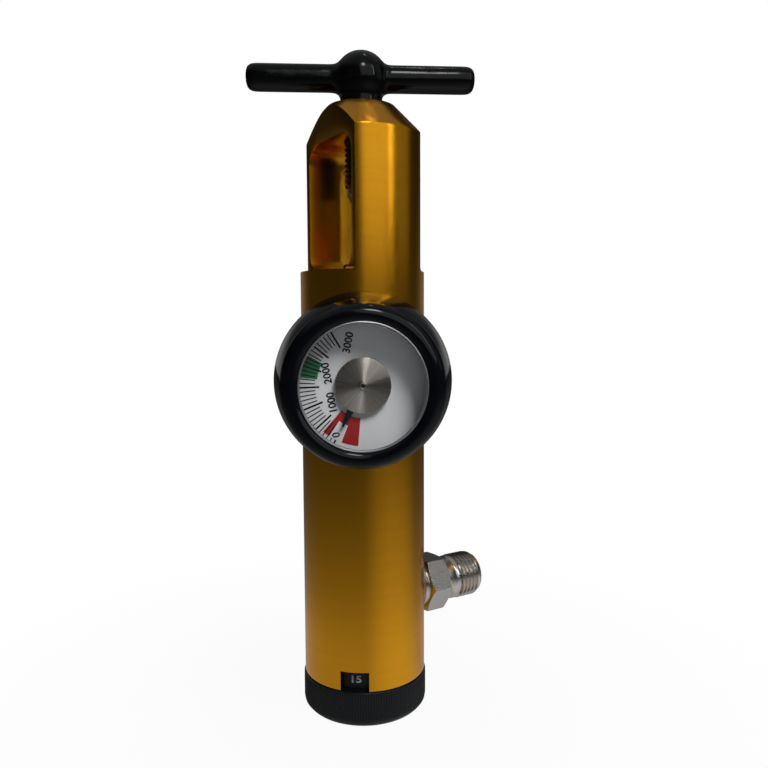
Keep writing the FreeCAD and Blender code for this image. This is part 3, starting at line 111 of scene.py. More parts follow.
class NodeTree:
    """A node tree under construction, with short calls to add and link nodes."""

    def __init__(self, tree: bpy.types.NodeTree) -> None:
        """Hold the tree.

        Args:
            tree: The node tree of a material or a world.
        """
        self.nodes = tree.nodes
        self.links = tree.links

    def add(self, kind: str, inputs: dict[str | int, object] | None = None,
            **settings: object) -> bpy.types.Node:
        """Add a node.

        Args:
            kind: The node's type name.
            inputs: What its inputs get, by name or number: a socket is linked, a value is set.
            **settings: Properties of the node.

        Returns:
            The new node.
        """
        node = self.nodes.new(kind)
        for key, value in settings.items():
            setattr(node, key, value)
        for key, value in (inputs or {}).items():
            if isinstance(value, Socket):
                self.link(value, node.inputs[key])
            else:
                node.inputs[key].default_value = value
        return node

    def link(self, source: Socket, target: Socket) -> None:
        """Link one socket to another."""
        self.links.new(source, target)

    def calculate(self, operation: str, *values: Socket | float) -> Socket:
        """Add a math node.

        Args:
            operation: What it does.
            *values: Its inputs, as sockets or numbers.

        Returns:
            The socket with the result.
        """
        inputs = dict(enumerate(values))
        return self.add("ShaderNodeMath", inputs, operation=operation).outputs[0]

    def range(self, value: Socket, low: float, high: float, to_low: float, to_high: float,
              kind: str = "LINEAR") -> Socket:
        """Map a value from one range to another.

        Args:
            value: The value to map.
            low: Where its range starts.
            high: Where its range ends.
            to_low: The result at the start.
            to_high: The result at the end.
            kind: How it goes from one to the other.

        Returns:
            The socket with the result.
        """
        return self.add("ShaderNodeMapRange", {
            "Value": value, "From Min": low, "From Max": high, "To Min": to_low,
            "To Max": to_high}, interpolation_type=kind).outputs["Result"]


class ShaderTree(NodeTree):
    """A material under construction, round a Principled shader."""

    def __init__(self, name: str) -> None:
        """Start a material whose tree holds a Principled shader and its output.

        Args:
            name: The material's name.
        """
        self.material = bpy.data.materials.new(name)
        self.material.use_nodes = True
        super().__init__(self.material.node_tree)
        self.shader = self.nodes["Principled BSDF"]
        self.output = self.nodes["Material Output"]

    def set(self, **values: object) -> None:
        """Set sockets of the Principled shader; an underscore stands for a space."""
        for key, value in values.items():
            self.shader.inputs[key.replace("_", " ")].default_value = value

    def place(self, axis: Axis, stretch: Triple) -> Socket:
        """Give object coordinates turned onto an axis and stretched.

        Args:
            axis: The axis whose direction becomes the pattern's own Z.
            stretch: The scale of the pattern along its X, Y and Z, per metre.

        Returns:
            The socket with the coordinates.
        """
        turn = axis.matrix().inverted()
        coordinates = self.add("ShaderNodeTexCoord").outputs["Object"]
        move = self.add("ShaderNodeMapping", {
            "Vector": coordinates, "Location": turn.to_translation(),
            "Rotation": turn.to_euler()})
        scale = self.add("ShaderNodeMapping", {
            "Vector": move.outputs["Vector"], "Scale": stretch})
        return scale.outputs["Vector"]

    def noise(self, where: Socket, scale: float, detail: float,
              roughness: float = 0.5) -> Socket:
        """Add a noise pattern.

        Args:
            where: The coordinates it reads.
            scale: Its scale.
            detail: Its detail.
            roughness: How strong its fine detail is.

        Returns:
            The socket with its height, from 0 to 1.
        """
        return self.add("ShaderNodeTexNoise", {
            "Vector": where, "Scale": scale, "Detail": detail,
            "Roughness": roughness}).outputs["Fac"]

    def roughen(self, pattern: Socket, least: float, most: float) -> None:
        """Let a noise pattern move the roughness between two values."""
        self.link(self.range(pattern, NOISE_LOW, NOISE_HIGH, least, most),
                  self.shader.inputs["Roughness"])

    def tint(self, factor: Socket, dark: Color, light: Color) -> None:
        """Blend the base colour between two colours."""
        mix = self.add("ShaderNodeMix", {0: factor, 6: (*dark, 1.0), 7: (*light, 1.0)},
                       data_type="RGBA")
        self.link(mix.outputs[2], self.shader.inputs["Base Color"])

    def bump(self, height: Socket, strength: float, distance: float) -> None:
        """Raise the surface by a height pattern, on top of any bump added before."""
        node = self.add("ShaderNodeBump", {
            "Height": height, "Strength": strength, "Distance": distance})
        last = self.shader.inputs["Normal"]
        if last.is_linked:
            self.link(last.links[0].from_socket, node.inputs["Normal"])
        self.link(node.outputs["Normal"], last)


@dataclass(frozen=True)
class TurnedMetal:
    """Turned metal whose tone differs a little at random; a spun disc gets radial streaks of
    painted glint in its colour, and a turning gleam.
    """

    name: str
    color: Color
    roughness: float = 0.28
    axis: Axis = Axis.BARREL
    spun: float = 0.0
    tone_and_glint: float = 0.01

    def material(self) -> bpy.types.Material:
        """Return the finish as a material."""
        tree = ShaderTree(self.name)
        tree.set(Metallic=1.0, Anisotropic=self.spun, Anisotropic_Rotation=0.25)
        if self.spun:
            along = tree.add("ShaderNodeTangent", direction_type="RADIAL", axis="Y")
            tree.link(along.outputs[0], tree.shader.inputs["Tangent"])
            # On a spun disc the tint follows the angle round the axis: painted glint streaks.
            tone_and_glint = self.painted_glint_rays(tree)
        else:
            tone_and_glint = tree.noise(tree.place(self.axis, (40.0, 40.0, 800.0)), 1.0, 0.0)
        # The tint: random tone on turned metal, painted glint streaks on a spun disc.
        dark = tuple(part * (1.0 - self.tone_and_glint) for part in self.color)
        light = tuple(min(part * (1.0 + self.tone_and_glint), 1.0) for part in self.color)
        tree.tint(tree.range(tone_and_glint, NOISE_LOW, NOISE_HIGH, 0.0, 1.0), dark, light)
        tree.roughen(tone_and_glint, self.roughness * 1.04, self.roughness * 0.96)
        return tree.material

    def painted_glint_rays(self, tree: ShaderTree) -> Socket:
        """Make a pattern that changes only with the angle round the axis: radial streaks that paint
        a spun disc's glints into its colour.

        Args:
            tree: The material's nodes.

        Returns:
            The socket with the pattern.
        """
        heading = tree.add("ShaderNodeVectorMath", {0: tree.place(self.axis, (1.0, 1.0, 0.0))},
                           operation="NORMALIZE")
        return tree.noise(heading.outputs[0], 9.0, 3.0, 0.7)


@dataclass(frozen=True)
class DippedVinyl:
    """A thick, glossy dipped coating with a faint sag in its surface."""

    name: str
    color: Color
    roughness: float = 0.16

    def material(self) -> bpy.types.Material:
        """Return the finish as a material."""
        tree = ShaderTree(self.name)
        tree.set(Specular_IOR_Level=0.2, Coat_Weight=0.02, Coat_Roughness=0.04)
        sag = tree.noise(tree.place(Axis.BARREL, (120.0, 120.0, 90.0)), 1.0, 1.0)
        fine = tree.noise(tree.place(Axis.BARREL, (1800.0, 1800.0, 1800.0)), 1.0, 2.0)
        tree.tint(sag, self.color, tuple(part * 1.4 for part in self.color))
        tree.roughen(fine, self.roughness * 0.8, self.roughness * 1.3)
        tree.bump(sag, 0.35, 0.0006)
        tree.bump(fine, 0.03, 0.00003)
        return tree.material


@dataclass(frozen=True)
class Moulded:
    """Moulded plastic, rubber or paint with a fine grain."""

    name: str
    color: Color
    roughness: float = 0.5
    grain: float = 0.3
    grain_scale: float = 2600.0
    specular: float = 0.5

    def material(self) -> bpy.types.Material:
        """Return the finish as a material."""
        tree = ShaderTree(self.name)
        tree.set(Specular_IOR_Level=self.specular)
        scale = (self.grain_scale,) * 3
        grain = tree.noise(tree.place(Axis.BARREL, scale), 1.0, 3.0, 0.6)
        cloud = tree.noise(tree.place(Axis.BARREL, (70.0, 70.0, 70.0)), 1.0, 3.0)
        tree.tint(cloud, tuple(part * 0.88 for part in self.color),
                  tuple(min(part * 1.12, 1.0) for part in self.color))
        tree.roughen(grain, self.roughness * 0.88, self.roughness * 1.12)
        tree.bump(grain, self.grain, 0.00004)
        return tree.material


@dataclass(frozen=True)
class Clear:
    """A clear window that lets the dial show and carries a faint reflection."""

    name: str
    alpha: float = 0.02

    def material(self) -> bpy.types.Material:
        """Return the finish as a material."""
        tree = ShaderTree(self.name)
        tree.set(Base_Color=(0.3, 0.32, 0.33, 1.0), Alpha=self.alpha, Coat_Weight=0.0)
        haze = tree.noise(tree.place(Axis.GAUGE, (300.0, 300.0, 300.0)), 1.0, 2.0)
        tree.roughen(haze, 0.02, 0.06)
        return tree.material


AnyFinish = TurnedMetal | DippedVinyl | Moulded | Clear

GOLD = TurnedMetal("gold_anodised", (0.74, 0.335, 0.016), 0.26)
NICKEL = TurnedMetal("satin_nickel", (0.62, 0.60, 0.57), 0.25, Axis.OUTLET)
BRONZE = TurnedMetal("bronze", (0.45, 0.25, 0.11), 0.42, Axis.OUTLET)
BRASS = TurnedMetal("brass", (0.66, 0.47, 0.19), 0.3)
BRASS_GAUGE = TurnedMetal("brass_gauge", (0.62, 0.43, 0.17), 0.32, Axis.GAUGE)
ALLOY = TurnedMetal("turned_alloy", (0.7, 0.7, 0.71), 0.3)
STEEL = TurnedMetal("bright_steel", (0.56, 0.56, 0.56), 0.25)
RIM_STEEL = TurnedMetal("rim_steel", (0.42, 0.43, 0.45), 0.42, Axis.GAUGE)
BLACKENED = TurnedMetal("blackened_steel", (0.06, 0.058, 0.06), 0.34)
# The spun disc's tint spread of 0.22 paints radial glint streaks into its colour.
SPUN = TurnedMetal("spun_disc", (0.60, 0.55, 0.50), 0.34, Axis.GAUGE, 0.95, 0.22)
VINYL = DippedVinyl("dipped_vinyl", (0.0016, 0.0019, 0.0021), 0.13)
KNOB_BLACK = Moulded("knob_black", (0.0028, 0.0037, 0.0048), 0.42, 0.35, 2600.0, 0.26)
GAUGE_BLACK = Moulded("gauge_black", (0.0022, 0.0027, 0.0042), 0.1, 0.03, 1500.0, 0.24)
RUBBER = Moulded("rubber", (0.012, 0.012, 0.012), 0.7, 0.5)
NYLON = Moulded("nylon", (0.72, 0.70, 0.62), 0.45)
PRINT_WHITE = Moulded("print_white", (0.44, 0.45, 0.47), 0.5, 0.2)
DIAL_WHITE = Moulded("dial_white", (0.80, 0.81, 0.82), 0.42, 0.12)
DIAL_INK = Moulded("dial_ink", (0.004, 0.005, 0.006), 0.5, 0.1, 2600.0, 0.1)
DIAL_RED = Moulded("dial_red", (0.42, 0.008, 0.012), 0.45, 0.1)
DIAL_GREEN = Moulded("dial_green", (0.008, 0.19, 0.05), 0.45, 0.1)
LENS = Clear("lens_clear")


# ---------------------------------------------------------------------------------------------
# Mesh tools


def add_object(name: str, data: bpy.types.ID) -> bpy.types.Object:
    """Add an object to the scene, at the origin and unturned.

    Args:
        name: Its name.
        data: Its mesh, text, lamp or camera.

    Returns:
        The new object.
    """
    made = bpy.data.objects.new(name, data)
    bpy.context.scene.collection.objects.link(made)
    return made


def take_shape(holder: bpy.types.Object) -> bmesh.types.BMesh:
    """Read an object's final shape and remove the object.

    Args:
        holder: The object, with its modifiers if it has any.

    Returns:
        Its shape as a mesh.
    """
    graph = bpy.context.evaluated_depsgraph_get()
    data = bpy.data.meshes.new_from_object(holder.evaluated_get(graph))
    bpy.data.objects.remove(holder)
    mesh = bmesh.new()
    mesh.from_mesh(data)
    bpy.data.meshes.remove(data)
    return mesh


def verts_of(geom: Sequence[object]) -> list[bmesh.types.BMVert]:
    """Return the vertices among mixed geometry."""
    return [item for item in geom if isinstance(item, bmesh.types.BMVert)]


def edges_of(geom: Sequence[object]) -> list[bmesh.types.BMEdge]:
    """Return the edges among mixed geometry."""
    return [item for item in geom if isinstance(item, bmesh.types.BMEdge)]


def set_reach(corner: bmesh.types.BMVert, reach: float) -> None:
    """Move a vertex straight towards or away from the Z axis.

    Args:
        corner: The vertex.
        reach: Its new distance from the axis, in metres.
    """
    share = reach / math.hypot(corner.co.x, corner.co.y)
    corner.co.x *= share
    corner.co.y *= share


def spin(mesh: bmesh.types.BMesh, geom: list, angle: float, steps: int, rise: float = 0.0,
         **options: bool) -> None:
    """Spin geometry about the Z axis.

    Args:
        mesh: The mesh.
        geom: What is spun.
        angle: The whole turn, in radians.
        steps: Steps in that turn.
        rise: Climb of each step, in metres.
        **options: Switches of bmesh.ops.spin.
    """
    bmesh.ops.spin(mesh, geom=geom, cent=(0.0, 0.0, 0.0), axis=(0.0, 0.0, 1.0),
                   dvec=(0.0, 0.0, rise), angle=angle, steps=steps, **options)


def trim(mesh: bmesh.types.BMesh, level: float, away: float) -> list[bmesh.types.BMEdge]:
    """Cut a mesh straight across its Z axis and drop one side.

    Args:
        mesh: The mesh.
        level: Height of the cut, in millimetres.
        away: 1 drops what is above the cut, and -1 what is below.

    Returns:
        The edges of the cut.
    """
    cut = bmesh.ops.bisect_plane(
        mesh, geom=[*mesh.verts, *mesh.edges, *mesh.faces], dist=1e-8,
        plane_co=(0.0, 0.0, level * MM), plane_no=(0.0, 0.0, away), clear_outer=True)
    return edges_of(cut["geom_cut"])


def join(mesh: bmesh.types.BMesh, *parts: bmesh.types.BMesh) -> None:
    """Add other meshes to a mesh; they are used up.

    Args:
        mesh: The mesh that grows.
        *parts: The meshes that go into it.
    """
    for part in parts:
        spare = bpy.data.meshes.new("joined_part")
        part.to_mesh(spare)
        part.free()
        mesh.from_mesh(spare)
        bpy.data.meshes.remove(spare)


def outline(mesh: bmesh.types.BMesh, points: Sequence[Point], closed: bool = True) -> list:
    """Draw a profile of (radius, height) points in millimetres in the XZ plane.

    Args:
        mesh: The mesh it is drawn in.
        points: The profile's points.
        closed: Whether the last point joins the first.

    Returns:
        The profile's vertices and edges.
    """
    corners = [mesh.verts.new((across * MM, 0.0, up * MM)) for across, up in points]
    pairs = list(zip(corners, corners[1:]))
    if closed:
        pairs.append((corners[-1], corners[0]))
    return corners + [mesh.edges.new(pair) for pair in pairs]


def lathe(points: Sequence[Point], axis: Axis = Axis.BARREL, steps: int = 128,
          closed: bool = True, soften: float = 0.0) -> bmesh.types.BMesh:
    """Turn a profile about the piece's own Z axis and place it on an axis of the object.

    Args:
        points: The profile, as (radius, height) in millimetres.
        axis: The axis it is turned on.
        steps: Sides of the turned shape.
        closed: Whether the profile is closed, as for a ring.
        soften: Width of the bevel on its sharp edges, in millimetres.

    Returns:
        The turned mesh.
    """
    mesh = bmesh.new()
    profile = outline(mesh, points, closed)
    spin(mesh, profile, FULL_TURN, steps, use_merge=True)
    bmesh.ops.remove_doubles(mesh, verts=mesh.verts, dist=SAME_PLACE)
    bmesh.ops.recalc_face_normals(mesh, faces=mesh.faces)
    if soften:
        soften_edges(mesh, soften)
    mesh.transform(axis.matrix())
    return mesh


def soften_edges(mesh: bmesh.types.BMesh, width: float, least: float = 28.0,
                 segments: int = 3) -> None:
    """Bevel the sharp edges of a mesh.

    Args:
        mesh: The mesh.
        width: Width of the bevel, in millimetres.
        least: The smallest turn between two faces that counts as sharp, in degrees.
        segments: Segments of the bevel.
    """
    sharp = [edge for edge in mesh.edges
             if len(edge.link_faces) == 2 and edge.calc_face_angle(0.0) > math.radians(least)]
    bmesh.ops.bevel(mesh, geom=sharp, offset=width * MM, offset_type="OFFSET", affect="EDGES",
                    segments=segments, profile=0.5, material=-1, clamp_overlap=True)


def screw_thread(radius: float, root: float, pitch: float, low: float, high: float,
                 bore: float, crest: float = 0.12, steps: int = 72) -> bmesh.types.BMesh:
    """Wind a thread about Z between two levels, with flat ends that reach in to a bore.

    Args:
        radius: Outside of the thread, in millimetres.
        root: Bottom of the thread, in millimetres.
        pitch: Rise of one turn, in millimetres.
        low: Where the thread starts.
        high: Where it ends.
        bore: Radius of the hole through its ends.
        crest: Flat of the crest, as a share of the pitch.
        steps: Steps in one turn.

    Returns:
        The thread as a mesh about the Z axis, not yet placed.
    """
    mesh = bmesh.new()
    turns = math.ceil((high - low) / pitch) + 3
    start = low - 1.5 * pitch
    points: list[Point] = []
    for turn in range(turns):
        foot = start + turn * pitch
        points += [(root, foot), (root, foot + THREAD_FOOT * pitch),
                   (radius, foot + (THREAD_MIDDLE - crest / 2) * pitch),
                   (radius, foot + (THREAD_MIDDLE + crest / 2) * pitch)]
    points.append((root, start + turns * pitch))
    profile = outline(mesh, points, closed=False)
    spin(mesh, profile, FULL_TURN, steps, pitch * MM / steps, use_merge=False)
    bmesh.ops.remove_doubles(mesh, verts=mesh.verts, dist=THREAD_SEAM)
    for level, away in ((low, -1.0), (high, 1.0)):
        rim = trim(mesh, level, away)
        for corner in verts_of(bmesh.ops.extrude_edge_only(mesh, edges=rim)["geom"]):
            set_reach(corner, bore * MM)
    bmesh.ops.remove_doubles(mesh, verts=mesh.verts, dist=THREAD_SEAM)
    bmesh.ops.recalc_face_normals(mesh, faces=mesh.faces)
    return mesh


def flat_text(text: str, height: float) -> bmesh.types.BMesh:
    """Make flat text as a mesh, centred on its own origin.

    Args:
        text: The characters.
        height: Height of a capital, in millimetres.

    Returns:
        The text's mesh, in the XY plane.
    """
    curve = bpy.data.curves.new("text_" + text, "FONT")
    curve.body = text
    curve.size = height * MM / CAPITAL_SHARE
    curve.align_x = "CENTER"
    curve.align_y = "CENTER"
    curve.offset = height * MM * LETTER_WEIGHT
    curve.resolution_u = 6
    return take_shape(add_object("text_holder", curve))


class Finish:
    """Gives each finish one material, made when it is first asked for."""

    made: dict[str, bpy.types.Material] = {}

    @classmethod
    def of(cls, finish: AnyFinish) -> bpy.types.Material:
        """Return the material of a finish."""
        if finish.name not in cls.made:
            cls.made[finish.name] = finish.material()
        return cls.made[finish.name]


@dataclass
class SubAssembly:
    """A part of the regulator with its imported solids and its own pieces."""

    nodes: dict[str, bpy.types.Object]
    body: Body = Body.BARREL
    smooth_below: float = 32.0

    def dress(self, finishes: dict[str, AnyFinish]) -> None:
        """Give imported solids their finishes.

        Args:
            finishes: The finish of each solid, by the solid's name.
        """
        for name, finish in finishes.items():
            node = self.nodes[name]
            node.data.materials.clear()
            node.data.materials.append(Finish.of(finish))
            LOG.info("solid %s: %s", name, finish.name)

    def piece(self, name: str, mesh: bmesh.types.BMesh, finish: AnyFinish, slot: str,
              instead_of: Sequence[str] = (), body: Body | None = None) -> bpy.types.Object:
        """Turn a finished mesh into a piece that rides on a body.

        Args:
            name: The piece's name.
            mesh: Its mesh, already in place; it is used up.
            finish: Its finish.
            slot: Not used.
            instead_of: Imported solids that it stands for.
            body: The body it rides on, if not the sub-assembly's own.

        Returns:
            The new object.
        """
        data = bpy.data.meshes.new(name)
        for face in mesh.faces:
            face.smooth = True
        for edge in mesh.edges:
            edge.smooth = edge.calc_face_angle(0.0) < math.radians(self.smooth_below)
        mesh.to_mesh(data)
        mesh.free()
        data.materials.append(Finish.of(finish))
        made = add_object(name, data)
        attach(made, (body or self.body).value)
        if instead_of:
            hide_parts(*instead_of)
        LOG.info("piece %s: %d faces", name, len(data.polygons))
        return made

    def copy_of(self, name: str) -> bmesh.types.BMesh:
        """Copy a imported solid's mesh with its loose triangles merged.

        Args:
            name: The solid.

        Returns:
            The merged copy.
        """
        mesh = bmesh.new()
        mesh.from_mesh(self.nodes[name].data)
        bmesh.ops.remove_doubles(mesh, verts=mesh.verts, dist=SAME_PLACE)
        bmesh.ops.dissolve_limit(mesh, angle_limit=math.radians(0.03), verts=mesh.verts,
                                 edges=mesh.edges, use_dissolve_boundaries=False)
        return mesh


# ---------------------------------------------------------------------------------------------
# Sub-assemblies


@dataclass
class Yoke(SubAssembly):
    """The barrel with its yoke window, and the inlet and gas parts inside it."""

    edge: float = 0.3
    least_turn: float = 40.0
    radius: float = 18.25
    radius_slack: float = 0.02
    facing: float = 0.98

    def build(self) -> None:
        """Dress the inner solids and make the barrel with softened edges and true shading."""
        self.dress({
            "inlet_nipple": BRASS, "inlet_filter": BRONZE, "sealing_washer": RUBBER,
            "index_pins": STEEL, "seat_nozzle": BRASS, "stem_ring": RUBBER, "piston": ALLOY,
            "piston_ring": RUBBER, "piston_seat": NYLON, "main_spring": STEEL,
            "flow_head": BRASS, "flow_head_rings": RUBBER, "shaft_ring": RUBBER,
            "detent_ball": STEEL, "detent_spring": STEEL, "stop_pin": STEEL, "barrel": GOLD})
        barrel = self.copy_of("barrel")
        soften_edges(barrel, self.edge, self.least_turn, 2)
        made = self.piece("barrel_turned", barrel, GOLD, "gold", ["barrel"])
        self.true_round(made.data)

    def true_round(self, data: bpy.types.Mesh) -> None:
        """Point the shading normals of the barrel's outer face straight away from its axis.

        Args:
            data: The barrel's mesh.
        """
        normals = [corner.vector.copy() for corner in data.corner_normals]
        for face in data.polygons:
            for index in face.loop_indices:
                place = data.vertices[data.loops[index].vertex_index].co
                away = Vector((place.x, place.y, 0.0))
                on_face = abs(away.length - self.radius * MM) < self.radius_slack * MM
                if on_face and face.normal.dot(away.normalized()) > self.facing:
                    normals[index] = away.normalized()
        data.normals_split_custom_set(normals)


@dataclass
class FlowKnob(SubAssembly):
    """The knob that the regulator stands on, with its ribs and its drum of flow numbers."""

    body: Body = Body.SELECTOR
    radius: float = 18.4
    ribs: int = 154
    rib_share: float = 0.72
    rib_height: float = 0.2
    rib_low: float = 1.1
    rib_full: float = 1.8
    rib_fade: float = 0.3
    rib_high: float = 10.3
    lower_round: float = 2.8
    drum: float = 16.2
    number_level: float = 13.75
    number_height: float = 2.0
    number_spread: float = 1.28
    number_angle: float = -99.6
    number_step: float = 30.0
    number_lift: float = 0.03
    number_depth: float = 0.02
    flows: tuple[str, ...] = ("15", "12", "10", "8", "6", "5", "4", "3", "2", "1", ".5", "0")

    def build(self) -> None:
        """Dress the knob's solids and add the ribs and the numbers."""
        self.dress({"flow_knob": KNOB_BLACK, "knob_screw": BLACKENED, "selector_shaft": STEEL,
                    "orifice_plate": BRASS})
        self.piece("knob_ribs", self.rib_ring(), KNOB_BLACK, "black_knob")
        self.piece("knob_flow_numbers", self.numbers(), PRINT_WHITE, "dial_white")

    def side_radius(self, level: float) -> float:
        """Return the knob's radius at a height, with its rounded lower edge."""
        below = max(self.lower_round - level, 0.0)
        return self.radius - self.lower_round + math.sqrt(self.lower_round ** 2 - below ** 2)

    def rib_ring(self) -> bmesh.types.BMesh:
        """Make one rib that follows the knob's side and repeat it round the knob.

        Returns:
            The ring of ribs.
        """
        mesh = bmesh.new()
        half = math.pi / self.ribs * self.rib_share
        rises = {self.rib_low: 0.0, self.rib_full: self.rib_height,
                 self.lower_round: self.rib_height,
                 self.rib_high - self.rib_fade: self.rib_height, self.rib_high: 0.0}
        corners = [mesh.verts.new((self.side_radius(level) * MM, 0.0, level * MM))
                   for level in rises]
        chain = [mesh.edges.new(pair) for pair in zip(corners, corners[1:])]
        bmesh.ops.transform(mesh, matrix=Matrix.Rotation(-half, 4, "Z"), verts=corners)
        for outward in (1.0, -1.0):
            grown = bmesh.ops.extrude_edge_only(mesh, edges=chain)["geom"]
            fresh = verts_of(grown)
            bmesh.ops.transform(mesh, matrix=Matrix.Rotation(half, 4, "Z"), verts=fresh)
            for corner in fresh:
                nearest = min(rises, key=lambda level: abs(level * MM - corner.co.z))
                rise = outward * rises[nearest] * MM
                set_reach(corner, math.hypot(corner.co.x, corner.co.y) + rise)
            chain = [edge for edge in edges_of(grown)
                     if all(corner in fresh for corner in edge.verts)]
        spin(mesh, [*mesh.verts, *mesh.edges, *mesh.faces],
             FULL_TURN * (self.ribs - 1) / self.ribs, self.ribs - 1, use_duplicate=True)
        bmesh.ops.recalc_face_normals(mesh, faces=mesh.faces)
        return mesh

    def numbers(self) -> bmesh.types.BMesh:
        """Wrap the flow numbers round the drum, one for each step of the knob.

        Returns:
            All the numbers as one mesh.
        """
        mesh = bmesh.new()
        for step, flow in enumerate(self.flows):
            text = flat_text(flow, self.number_height)
            middle = math.radians(self.number_angle - self.number_step * step)
            for corner in text.verts:
                angle = middle + corner.co.x * self.number_spread / (self.drum * MM)
                height = corner.co.y + self.number_level * MM
                reach = (self.drum + self.number_lift) * MM
                corner.co = Vector((reach * math.cos(angle), reach * math.sin(angle), height))
            join(mesh, text)
        bmesh.ops.remove_doubles(mesh, verts=mesh.verts, dist=SAME_PLACE)
        bmesh.ops.solidify(mesh, geom=mesh.faces[:], thickness=-self.number_depth * MM)
        return mesh


@dataclass
class Outlet(SubAssembly):
    """The outlet fitting with its hexagon, neck, plain band and thread."""

    thread_radius: float = 7.144
    thread_root: float = 6.35
    pitch: float = 1.411
    crest: float = 0.2
    neck_back: float = 28.55
    thread_back: float = 32.4
    end: float = 40.9
    neck: tuple[Point, ...] = (
        (5.6, 28.45), (5.7, 28.55), (5.3, 28.8), (5.3, 29.3), (5.5, 29.6), (6.75, 30.5),
        (6.95, 30.9), (6.95, 32.1), (6.7, 32.4))
    tip: float = 1.5
    tip_slope: float = 0.62
    bore: float = 3.3
    passage: float = 1.5
    bore_floor: float = 31.9

    def build(self) -> None:
        """Dress the washer and make the fitting with a cut thread."""
        self.dress({"outlet_washer": BRONZE, "outlet_fitting": NICKEL})
        local = Axis.OUTLET.matrix()
        fitting = self.copy_of("outlet_fitting")
        fitting.transform(local.inverted())
        trim(fitting, self.neck_back, 1.0)
        thread = screw_thread(self.thread_radius, self.thread_root, self.pitch,
                              self.thread_back, self.end, self.bore, self.crest)
        for corner in thread.verts:
            past = corner.co.z / MM - (self.end - self.tip)
            most = (self.thread_radius - self.tip_slope * past) * MM
            if past > 0.0 and math.hypot(corner.co.x, corner.co.y) > most:
                set_reach(corner, most)
        join(fitting, thread, lathe(self.neck, steps=96, closed=False), self.socket())
        fitting.transform(local)
        self.piece("outlet_threaded", fitting, NICKEL, "nickel", ["outlet_fitting"])

    def socket(self) -> bmesh.types.BMesh:
        """Make the socket in the outlet's end, open towards the end.

        Returns:
            Its wall and floor, in the outlet's own coordinates.
        """
        wall = lathe([(self.bore, self.end), (self.bore, self.bore_floor),
                      (self.passage, self.bore_floor), (self.passage, self.neck_back)],
                     steps=64, closed=False)
        bmesh.ops.reverse_faces(wall, faces=wall.faces)
        return wall


